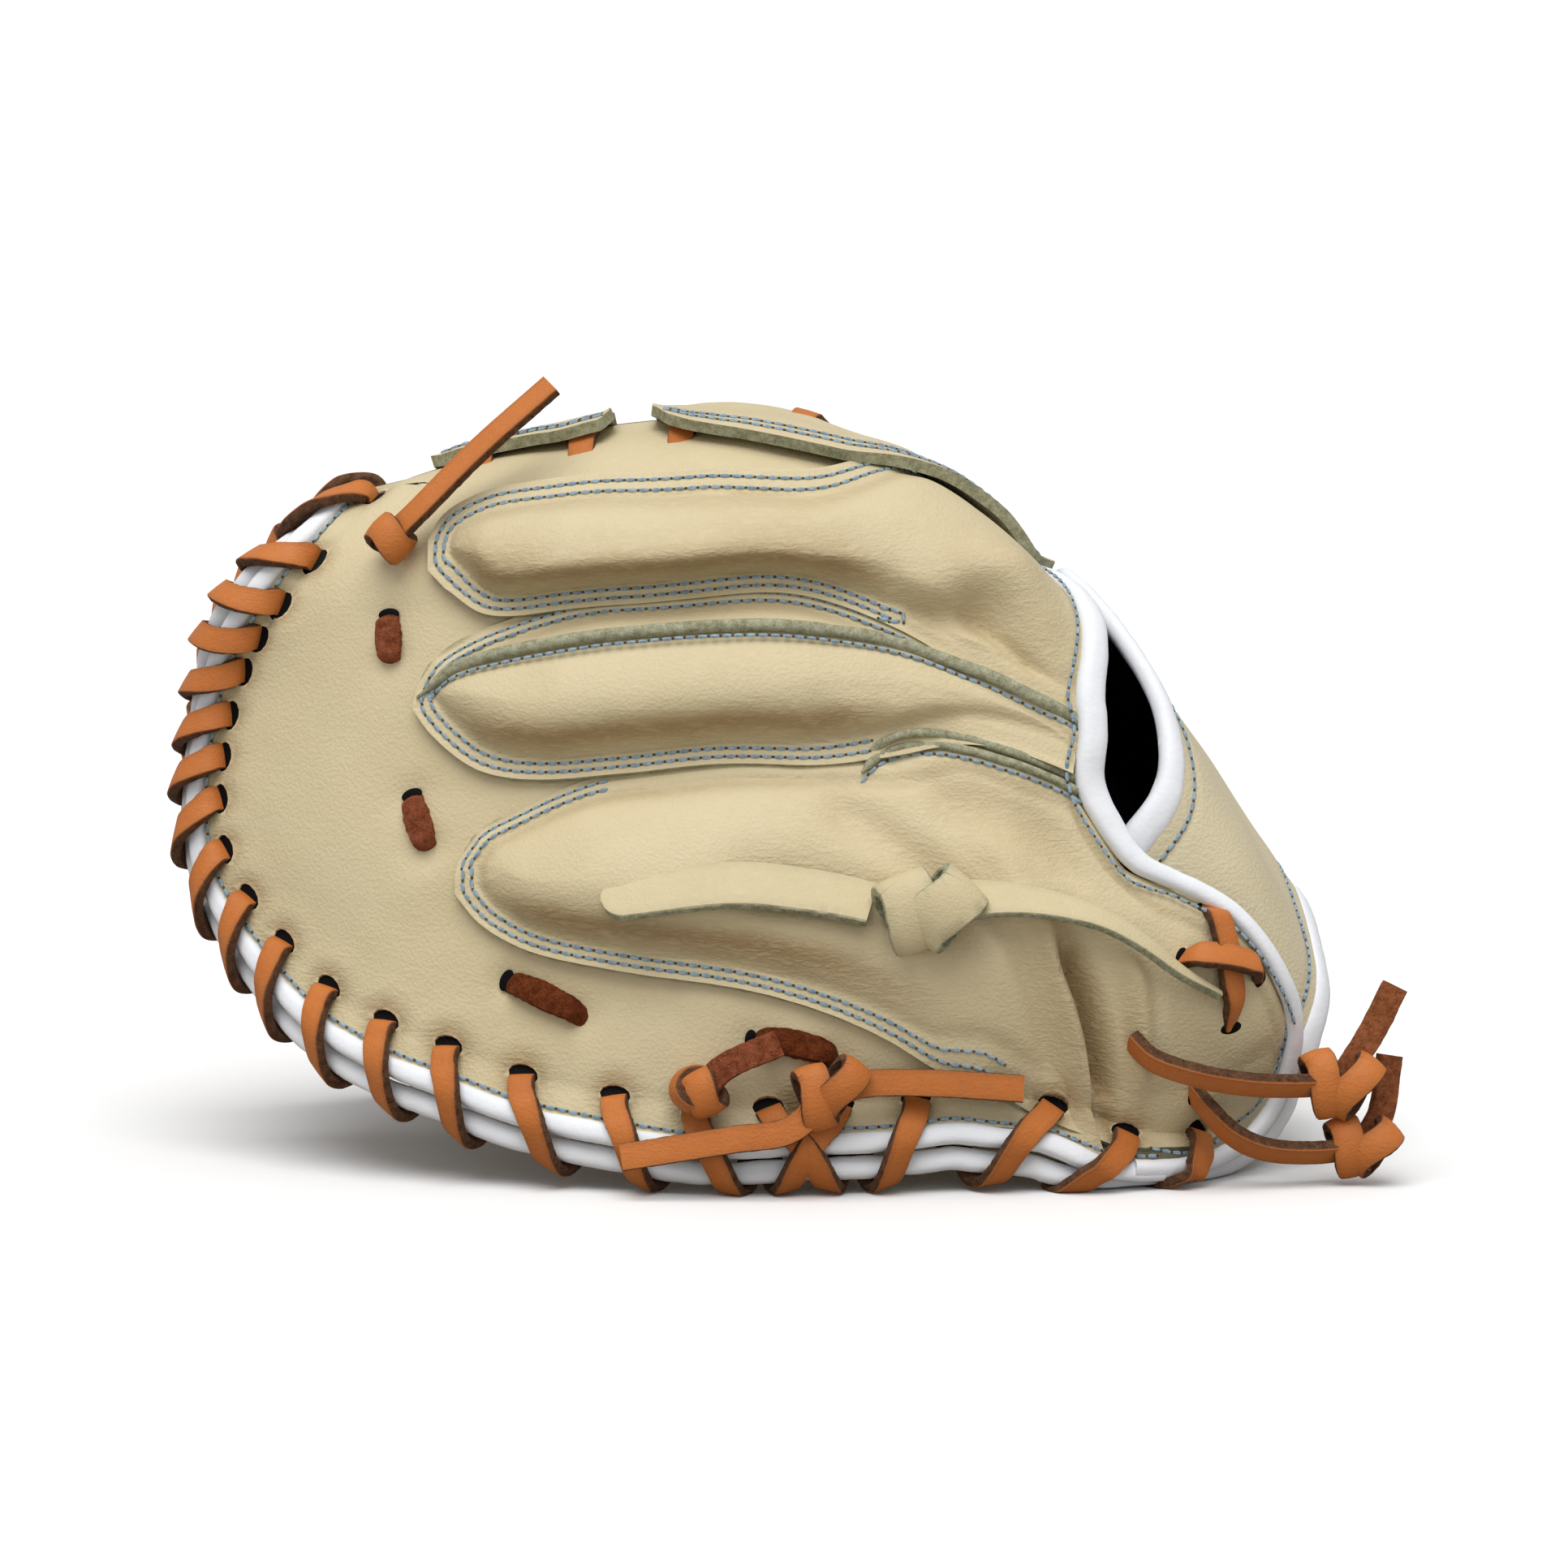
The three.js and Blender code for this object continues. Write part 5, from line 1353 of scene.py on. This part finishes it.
def eased(points, reach):
    """Points of a line, each one averaged with its neighbours."""
    weights = np.exp(-(np.arange(-3 * reach, 3 * reach + 1) / reach) ** 2)
    padded = np.vstack([np.repeat(points[:1], 3 * reach, 0), points, np.repeat(points[-1:], 3 * reach, 0)])
    columns = [np.convolve(column, weights / weights.sum(), "valid") for column in padded.T]
    return np.stack(columns, -1)


def edge_roll(name, node, path, side, beyond=()):
    """A binding along a side's free edge, given as s and t, and on through the points beyond it."""
    flat = spline(path, np.linspace(0, 1, 240))
    s, t = flat[:, 0], flat[:, 1]
    up = normal(s, t)
    line = place(s, t, back_height(s, t) + edge_lift(s, t, side) + 0.4)
    if len(beyond):
        more = spline(np.vstack([line[-1], beyond]), np.linspace(0, 1, 90))[1:]
        around = more - np.array(HEEL_MIDDLE)
        line, up = np.vstack([line, more]), np.vstack([up, 0.4 * unit(around) + np.array([0, -1, 0])])
    both, _ = resampled(np.hstack([line, up]), 1.4)
    middle, up = eased(both[:, :3], 4), unit(eased(both[:, 3:], 6))
    tangent = unit(np.gradient(middle, axis=0))
    out = side * unit(np.cross(tangent, up))
    across_edge = unit(np.cross(out, tangent))
    u = np.linspace(0, 1, len(middle))
    ends = 0.35 + 0.65 * smooth(0, 0.03, u)
    slim = 1 - 0.4 * smooth(0.42, 0.58, u) * (len(beyond) > 0)
    shift = BINDING_SHIFT * slim * (1 - smooth(0.56, 0.72, u) * (len(beyond) > 0))
    reach, rise = BINDING_REACH * slim * ends, BINDING_RISE * (0.4 + 0.6 * slim) * ends
    roll = round_tube(name, middle + out * shift[:, None], out, across_edge, reach, rise, 0.1)
    finish(roll, "white_binding", (node,), BINDING)
    row, up = line[: len(flat)], normal(s, t)
    tangent = unit(np.gradient(row, axis=0))
    row = row - side * unit(np.cross(tangent, up)) * 3.3 + up * 0.9
    return stitch_spots(row, up, 4)


def build_edge_rolls():
    end = INDEX_STALL[-1]
    index_end = [
        (end[0] + (end[2] - end[0]) * v + end[BOW] * math.sin(math.pi * v), end[1] + (end[3] - end[1]) * v)
        for v in np.linspace(0, 1, 7)
    ]
    finger_edge = index_end + [(row[0], row[1]) for row in RING_STALL[OPENING_ROW:]]
    rows = [edge_roll("Opening_binding", "opening_binding", finger_edge, FINGER, HEEL_ROUND)]
    thumb_edge = [(row[0], row[1]) for row in THUMB_STALL[OPENING_ROW - 1 :]]
    rows.append(edge_roll("Thumb_edge_binding", "thumb_edge_binding", thumb_edge[1:], THUMB))
    build_stitches("Opening_stitches", rows)


def build_rim_rolls():
    for side, name in ((FINGER, "finger"), (THUMB, "thumb")):
        total = RIMS[side].total
        title = name.title()
        rim_roll(side, f"{title}_back_binding", f"{name}_back_binding", 2, total - 92, 3.4, 2.9, 2.9, 2.3)
        rim_roll(side, f"{title}_palm_binding", f"{name}_palm_binding", 9, total - 30, 3.9, -2.7, 3.1, 2.7)


def rim_spots(side, start, end):
    f = RIMS[side].frame(np.arange(start, end, 1.0))
    row = f["origin"] - f["out"] * 0.4 + f["up"] * (EDGE_HEIGHT + 0.35)
    return stitch_spots(row, f["up"])


def build_edge_stitches():
    seam_end = spline(INDEX_SEAM_END, np.linspace(0, 1, 60))
    build_stitches("Index_seam_end", [surface_spots(seam_end, INDEX.heights, 0.2)])
    heel = spline(HEEL_CORNER, np.linspace(0, 1, 160))
    build_stitches("Heel_edge_stitches", [surface_spots(heel, RING.heights, 0.15)])
    rows = [rim_spots(side, 8, RIMS[side].total - 94) for side in (FINGER, THUMB)]
    build_stitches("Rim_stitches", rows)


build_rim_rolls()
build_edge_rolls()
build_edge_stitches()


# Laces round the rims

def build_rim_lace(side):
    """The wraps of a side, each up through its hole, over both bindings and back under the palm."""
    parts = []
    for first, last in WRAP_RUNS[side]:
        wraps = WRAPS[side][first:last]
        points = []
        wides = []
        for start, bottom, end in wraps:
            for row, (out, up, share, palm) in enumerate(WRAP_PATH):
                if share <= 0.5:
                    distance = start + (bottom - start) * share / 0.5
                else:
                    distance = bottom + (end - bottom) * (share - 0.5) / 0.5
                f = RIMS[side].frame(np.array(distance))
                drawn = palm * (overhang(f["s"]) - PALM_OVERHANG)
                if row in FROM_HOLE:
                    drawn = -hole_inset(distance)
                points.append(f["origin"] + f["out"] * (out + drawn) + f["up"] * up)
                wides.append(f["tangent"] * (-side))
        points = np.array(points)
        count = len(points) * 5
        path = spline(points, np.linspace(0, 1, count))
        wide = spline(np.array(wides), np.linspace(0, 1, count))
        roll = LACE_ROLL if first == 0 else -LACE_ROLL
        part_name = f"rim_lace_{side}_{first}"
        parts.append(ribbon(part_name, path, wide, thickness=2.9, seed=first + side, roll=roll))
    name = "Finger_rim_lace" if side < 0 else "Thumb_rim_lace"
    node = "finger_rim_lace" if side < 0 else "thumb_rim_lace"
    piece = join(name, parts) if len(parts) > 1 else parts[0]
    piece.name = name
    finish(piece, "rawhide_lace", (node,), LACE)


build_rim_lace(FINGER)
build_rim_lace(THUMB)


# Short laces on the back

def surface_path(start_spot, end_spot, lifts, dive, steps=36):
    """A path on the back between two spots of s and t, its ends going down into their holes."""
    u = np.linspace(0, 1, steps)
    s = start_spot[0] + (end_spot[0] - start_spot[0]) * u
    t = start_spot[1] + (end_spot[1] - start_spot[1]) * u
    start_lift, end_lift, arch = lifts
    end_shape = smooth(0, 0.16, u) * smooth(1, 0.84, u)
    lift = start_lift + (end_lift - start_lift) * u + arch * np.sin(math.pi * u) ** 0.6
    height = back_height(s, t) + lift - dive * (1 - end_shape)
    step = 0.5 * unit(np.array([end_spot[0] - start_spot[0], end_spot[1] - start_spot[1]]))
    ahead = fold(s + step[0], t + step[1]) - fold(s - step[0], t - step[1])
    return place(s, t, height), unit(np.cross(normal(s, t), ahead))


def build_ties():
    for i, (from_s, from_t, to_s, to_t, lift) in enumerate(TIES):
        path, wide = surface_path((from_s, from_t), (to_s, to_t), (lift, lift, 0.5), 4.4)
        u = np.linspace(0, 1, len(path))
        narrow = 0.55 + 0.5 * np.sin(math.pi * clamp01(0.08 + 0.84 * u)) ** 0.7
        tie = ribbon(f"Tie_lace_{i + 1}", path, wide, 6.8, 2.6, narrow, seed=40 + i, rough=0.35, cup=0.7)
        finish(tie, "rough_lace", (f"tie_lace_{i + 1}",), ROUGH_LACE if i < 2 else DARK_LACE)


# Laces that cross on the heel: piece, node, s and t of both ends, and the lifts of the ends and the middle
CROSS_LACES = [
    ("Heel_cross_lower", "heel_cross_lower", (103.1, -55.9), (113.0, -70.8), (1.9, 2.0, 0.6)),
    ("Heel_cross_upper", "heel_cross_upper", (98.9, -75.7), (115.5, -56.8), (2.2, 2.2, 3.0)),
]


def build_cross_laces():
    for name, node, from_spot, to_spot, lifts in CROSS_LACES:
        path, wide = surface_path(from_spot, to_spot, lifts, 4.2)
        u = np.linspace(0, 1, len(path))
        narrow = 0.5 + 0.5 * smooth(0, 0.2, u) * smooth(1, 0.75, u)
        lace = ribbon(name, path, wide, 7.2, 2.8, narrow, seed=50.0, roll=-0.2)
        finish(lace, "rawhide_lace", (node,), LACE)


def hole_spots(from_spot, to_spot):
    """The holes of a short lace, a little beyond its ends, with its heading."""
    heading = math.atan2(to_spot[1] - from_spot[1], to_spot[0] - from_spot[0])
    step = np.array([math.cos(heading), math.sin(heading)]) * 0.2
    ends = (np.array(from_spot) - step, np.array(to_spot) + step)
    return [(end[0], end[1], heading) for end in ends]


def panel_heights(s, t):
    return back_height(s, t) + relief(s, t, FINGER)


build_ties()
build_cross_laces()
# Painted shade in the holes of the short laces
tie_spots = [hole_spots(row[0:2], row[2:4])[0] for row in TIES]
painted_hole_shadows("Tie_hole_shadows", tie_spots, panel_heights)
cross_spots = [spot for row in CROSS_LACES for spot in hole_spots(row[2], row[3])]
cross_spots += [(92.4, -102.4, 0.5), (111.0, -86.0, 0.9)]
painted_hole_shadows("Heel_hole_shadows", cross_spots, RING.heights)


# Web tabs and the laces over them: station, far edge, near edge and lift of the near edge
TAB_TIP = np.array([
    (-84, 9, -5, 1.6), (-71, 10, -9, 2.4), (-59, 10, -14, 3.2), (-46, 10, -19, 4.2), (-35, 10, -18, 5.0),
], float)
TAB_BASE = np.array([
    (-24, 9, -17, 4.6), (-12, 9, -25, 4.2), (5, 10, -30, 4.2), (20, 11, -30, 4.6), (32, 11, -26, 6.0),
    (44, 12, -21, 7.6), (55, 12, -17, 8.4), (67, 10, -12, 8.0),
], float)

# Laces over the tabs: station, near end, far end and arch
WEB_LACES = [(-71, -14, 24, 0.4), (-43, -25, 24, 0.6), (-17, -25, 24, 0.6), (12, -6, 24, 2.4)]


def tab_height(table, s, v):
    """Lift of a tab over the back: v runs from its far edge to its near edge."""
    far = 1.1 + 3 * smooth(22, 40, s)
    return far + (track(table, 3, s) - far) * smooth(0.3, 1.0, v)


def build_tab(table, name, node, steps):
    u, v = np.meshgrid(np.linspace(0, 1, steps), np.linspace(0, 1, 33), indexing="ij")
    s = table[0, 0] + (table[-1, 0] - table[0, 0]) * u
    far, near = track(table, 1, s), track(table, 2, s)
    round_end = smooth(0, 0.05, u) * smooth(1, 0.95, u)
    middle = (far + near) / 2
    width = 0.7 + 0.3 * round_end
    far, near = middle + (far - middle) * width, middle + (near - middle) * width
    t = far + (near - far) * v
    uneven = 0.5 * waves(fold(s, t), 9.0, 61.0)
    height = back_height(s, t) + tab_height(table, s, v) + LEATHER + uneven
    points = place(s, t, height)
    tab = grid_piece(name, points, normal(s, t), crease=0.15 + 0.0 * s)
    thicken(tab, LEATHER + 1.0, 1, 1)
    finish(tab, "cream_leather", (node,), CREAM, RAW_EDGE)
    rows = []
    for inset in (2.2, 4.3):
        row_s = np.linspace(table[0, 0] + 4, table[-1, 0] - 3, 200)
        far, near = track(table, 1, row_s), track(table, 2, row_s)
        row_t = near + inset
        row_v = (row_t - far) / (near - far)
        lift = back_height(row_s, row_t) + tab_height(table, row_s, row_v) + LEATHER
        row = place(row_s, row_t, lift + 0.5 * waves(fold(row_s, row_t), 9.0, 61.0) + 0.2)
        rows.append(stitch_spots(row, normal(row_s, row_t)))
    build_stitches(name.replace("tab", "stitches"), rows)


def build_web_laces():
    for i, (station, near, far, arch) in enumerate(WEB_LACES):
        path, wide = surface_path((station, near), (station + 5, far), (1.3, 1.3, arch), 3.0, 60)
        lace = ribbon(f"Web_lace_{i + 1}", path, wide, seed=60.0 + i)
        finish(lace, "rawhide_lace", (f"web_lace_{i + 1}",), LACE)


build_tab(TAB_TIP, "Web_tab_tip", "web_tab_tip", 60)
build_tab(TAB_BASE, "Web_tab_base", "web_tab_base", 110)
build_web_laces()


# Knots and free ends

def on_back(s, t, lift):
    s, t = np.float64(s), np.float64(t)
    return place(s, t, back_height(s, t) + lift)


def knot_bands(
    name, node, centre, bands, slot="rawhide_lace", material=LACE, thickness=2.6, width=8.2, cup=0.7,
):
    """A knot of closed bands: each has its axis, two radii, the first one's direction and its shift."""
    parts = []
    for k, (axis, first_radius, second_radius, first, offset) in enumerate(bands):
        axis = unit(np.array(axis, float))
        first = unit(np.array(first, float) - axis * np.dot(first, axis))
        second = np.cross(axis, first)
        turn = np.linspace(0.3, 0.3 + 2 * math.pi * 1.02, 49)
        twist = 0.8 * np.sin(turn * 2)[:, None] * axis
        path = (
            np.array(centre) + np.array(offset, float)
            + first * (first_radius * np.cos(turn))[:, None]
            + second * (second_radius * np.sin(turn))[:, None]
            + twist
        )
        parts.append(ribbon(f"band_{k}", path, axis, width, thickness, seed=70.0 + k, cup=cup))
    piece = join(name, parts) if len(parts) > 1 else parts[0]
    piece.name = name
    return finish(piece, slot, (node,), material)


# Points in the shared frame: the middles of the knots, and the ways of the laces from and to them
KNOT_CENTRES = {
    "web_knot": on_back(-90.7, -37.9, 6.4),
    "small_knot": on_back(-10.4, -196, 10),
    "rim_knot": on_back(20.1, -191, 11),
    "heel_knot_upper": np.array((154.5, -68, 29.4)),
    "heel_knot_lower": np.array((160.5, -66, 12.5)),
}
RIM_LIE = (0, 0.2, 1)
HEEL_LIE = (0.1, -1.1, 1)
TAIL_WEB = [(-88, -41, 175.5), (-70.6, -38, 192.9), (-51.3, -35, 209.9)]
HEEL_UPPER = [
    (99.8, -78.5, 42.3), (104.8, -82.3, 37.9), (117, -82.5, 33.7), (129.4, -78, 30.9), (142, -72.5, 29.5),
]
TAIL_UPPER = [(161, -65.5, 39), (165.5, -62, 46), (169.5, -60, 53.9)]
HEEL_LOWER = [
    (116.5, -69.5, 27.5), (119.9, -74, 23.5), (126.5, -74.5, 17), (134.8, -72.5, 12.9), (149.5, -69, 11.4),
]
TAIL_LOWER = [(165.8, -62.3, 19.9), (168.4, -60, 35.7)]

knot_bands("Web_knot", "web_knot", KNOT_CENTRES["web_knot"], [
    ((0.66, 0.1, 0.74), 5.0, 4.4, (-0.74, 0.1, 0.66), (0.5, -0.8, 0)),
], width=8.6)
knot_bands("Small_knot", "small_knot", KNOT_CENTRES["small_knot"], [
    ((0.9, -0.2, 0.5), 5.0, 3.2, (-0.5, 0, 0.9), (1.0, -1.0, 0.5)),
    ((0.2, -0.9, 0.3), 5.2, 5.0, (1, 0, 0.2), (-1.5, 1.5, 1.0)),
])
knot_bands("Rim_knot", "rim_knot", KNOT_CENTRES["rim_knot"], [
    ((0.95, 0.1, 0.25), 7.4, 3.6, (-0.25, 0, 0.95), (-3.2, -0.4, -0.8)),
    ((0.8, 0.1, -0.6), 6.8, 3.4, (0.6, 0, 0.8), (3.2, -1.0, 2.2)),
])
heel_knot_upper = knot_bands("Heel_knot_upper", "heel_knot_upper", KNOT_CENTRES["heel_knot_upper"], [
    ((0.95, 0, 0.3), 8.0, 4.8, (-0.3, 0, 0.95), (-4.0, 0, 0)),
    ((0.8, -0.2, -0.6), 8.0, 4.8, (0.6, 0, 0.8), (3.6, -0.6, -0.5)),
])
heel_knot_lower = knot_bands("Heel_knot_lower", "heel_knot_lower", KNOT_CENTRES["heel_knot_lower"], [
    ((0.95, 0, 0.3), 7.0, 4.4, (-0.3, 0, 0.95), (-3.4, 0, 0)),
    ((0.7, -0.2, -0.7), 7.0, 4.4, (0.7, 0, 0.7), (3.0, -0.6, 0)),
])


def cord(path):
    """A free lace's middle line in metres; the result is not used."""
    line = metres(path)


def free_lace(name, node, points, wide, slot="rawhide_lace", material=LACE, thickness=2.8):
    """A lace with a free end, and its middle line."""
    path, _ = resampled(spline(points, np.linspace(0, 1, 200)), 1.2)
    piece = ribbon(name, path, wide, thickness=thickness, seed=float(len(name)))
    return finish(piece, slot, (node,), material), path


web_tail, web_tail_path = free_lace(
    "Web_knot_tail", "web_knot_tail", [KNOT_CENTRES["web_knot"], *TAIL_WEB], (-0.6, 0.8, 0.6),
)
small_tail = [KNOT_CENTRES["small_knot"], on_back(-4.6, -190.5, 9), on_back(8.7, -183, 6.6)]
free_lace("Small_knot_tail", "small_knot_tail", small_tail, RIM_LIE, "rough_lace", ROUGH_LACE)
rim_tail, rim_tail_path = free_lace("Rim_knot_tail", "rim_knot_tail", [
    KNOT_CENTRES["rim_knot"],
    on_back(11.5, -202, 9), on_back(-2.9, -206.5, 8.3), on_back(-30.5, -208.5, 8.3),
], (0, -0.2, -1))
rim_band, rim_band_path = free_lace("Rim_knot_band", "rim_knot_band", [
    KNOT_CENTRES["rim_knot"],
    on_back(29.5, -184, 8.4), on_back(48.4, -171.2, 8.6), on_back(69.8, -147.7, 8.2),
], RIM_LIE)
upper_lace, upper_path = free_lace(
    "Heel_lace_upper", "heel_lace_upper", [*HEEL_UPPER, KNOT_CENTRES["heel_knot_upper"]], HEEL_LIE,
    thickness=3.3,
)
upper_tail, _ = free_lace(
    "Heel_tail_upper", "heel_tail_upper", [KNOT_CENTRES["heel_knot_upper"], *TAIL_UPPER], (1, 0, -0.4),
    material=TAIL_FLESH,
)
lower_lace, lower_path = free_lace(
    "Heel_lace_lower", "heel_lace_lower", [*HEEL_LOWER, KNOT_CENTRES["heel_knot_lower"]], HEEL_LIE,
    thickness=3.3,
)
lower_tail, _ = free_lace(
    "Heel_tail_lower", "heel_tail_lower", [KNOT_CENTRES["heel_knot_lower"], *TAIL_LOWER], (1, 0.4, 0),
    material=TAIL_FLESH,
)
cord(web_tail_path)
cord(rim_tail_path)
cord(rim_band_path)
cord(upper_path)
cord(lower_path)


# Soft pull strap


def pull_strap_path(s, t, lift, tilt):
    """A way over the back, and the direction of the strap's width, tilted away from the leather."""
    path = place(s, t, back_height(s, t) + lift)
    wide = unit(np.cross(normal(s, t), np.gradient(fold(s, t), axis=0)))
    return path, unit(wide - tilt * normal(s, t))


def build_pull_strap():
    end_width, root_width = 13.2, 11.5
    u = np.linspace(0, 1, 70)
    lift = 14 - 2.6 * u + 1.5 * np.sin(math.pi * u)
    path, wide = pull_strap_path(-34 + 62.5 * u, -144.5 + 3.5 * u, lift, 0.45)
    taper = np.sqrt(np.maximum(1 - (1 - clamp01(u / 0.1)) ** 2, 0.02))
    strap = ribbon("Pull_strap_end", path, wide, end_width, 3.0, taper, seed=81.0)
    finish(strap, "cream_leather", ("pull_strap_end",), STRAP_LEATHER)
    centre = on_back(42, -136, 12.5)
    knot_bands("Pull_strap_knot", "pull_strap_knot", centre, [
        ((0.93, 0.1, 0.36), 8.8, 4.6, (-0.36, 0, 0.93), (-4.6, 0, -0.6)),
        ((0.72, -0.1, -0.69), 8.6, 4.4, (0.69, 0, 0.72), (3.6, -1.6, 0.6)),
    ], "cream_leather", STRAP_LEATHER, 3.0, 14.0, 0.9)
    u = np.linspace(0, 1, 60)
    lift = 10.0 - 7.0 * u + 2.0 * np.sin(math.pi * u)
    path, wide = pull_strap_path(51 + 57.4 * u, -126 + 53.8 * u, lift, 0.35)
    root = ribbon("Pull_strap_root", path, wide, root_width, 2.4, 1 - 0.85 * u, seed=82.0)
    finish(root, "cream_leather", ("pull_strap_root",), STRAP_LEATHER)


build_pull_strap()


# Camera, light and floor

def build_camera():
    target = (np.array([9.8, -50, 106]) + FRAME_SHIFT) * MM
    distance = 1.4
    tilt = math.radians(6)
    bpy.ops.object.camera_add()
    camera = bpy.context.object
    camera.name = "Camera"
    camera.location = Vector(target) + Vector((0, -math.cos(tilt), math.sin(tilt))) * distance
    camera.rotation_euler = (math.radians(90) - tilt, 0, 0)
    camera.data.lens = 122.5
    camera.data.sensor_width = 36
    camera.data.clip_end = 50
    bpy.context.scene.camera = camera


def build_floor():
    """A pale floor that is white to the camera and throws a warm, dim light on the mitt."""
    bpy.ops.mesh.primitive_plane_add(size=60)
    floor = bpy.context.object
    floor.name = "Floor"
    material, tree, shader = new_material("Pale floor")
    seen = add_node(tree, "ShaderNodeLightPath").outputs["Is Camera Ray"]
    tone = mix_colour(tree, seen, (0.38, 0.36, 0.33, 1), (1.0, 1.0, 1.0, 1))
    tree.links.new(tone, shader.inputs["Base Color"])
    shader.inputs["Roughness"].default_value = 0.9
    shader.inputs["Specular IOR Level"].default_value = 0.05
    floor.data.materials.append(material)


def build_sky():
    """Even white light all round, brighter where the camera looks at it."""
    world = bpy.data.worlds.new("White studio")
    world.use_nodes = True
    tree = world.node_tree
    seen = add_node(tree, "ShaderNodeLightPath").outputs["Is Camera Ray"]
    strength = calculate(tree, "ADD", calculate(tree, "MULTIPLY", seen, 0.6), 0.5)
    tree.links.new(strength, tree.nodes["Background"].inputs["Strength"])
    tree.nodes["Background"].inputs["Color"].default_value = (1, 1, 1, 1)
    bpy.context.scene.world = world


def soft_sun(name, towards, strength, spread):
    bpy.ops.object.light_add(type="SUN")
    light = bpy.context.object
    light.name = name
    light.data.energy = strength
    light.data.angle = math.radians(spread)
    light.rotation_euler = Vector(towards).to_track_quat("-Z", "Y").to_euler()


build_camera()
build_floor()
build_sky()
soft_sun("Top light", (0.1, 0.5, -1), 2.08, 50)
soft_sun("Front fill", (0, 1, -0.05), 0.3, 60)
bpy.context.scene.view_settings.view_transform = "Standard"
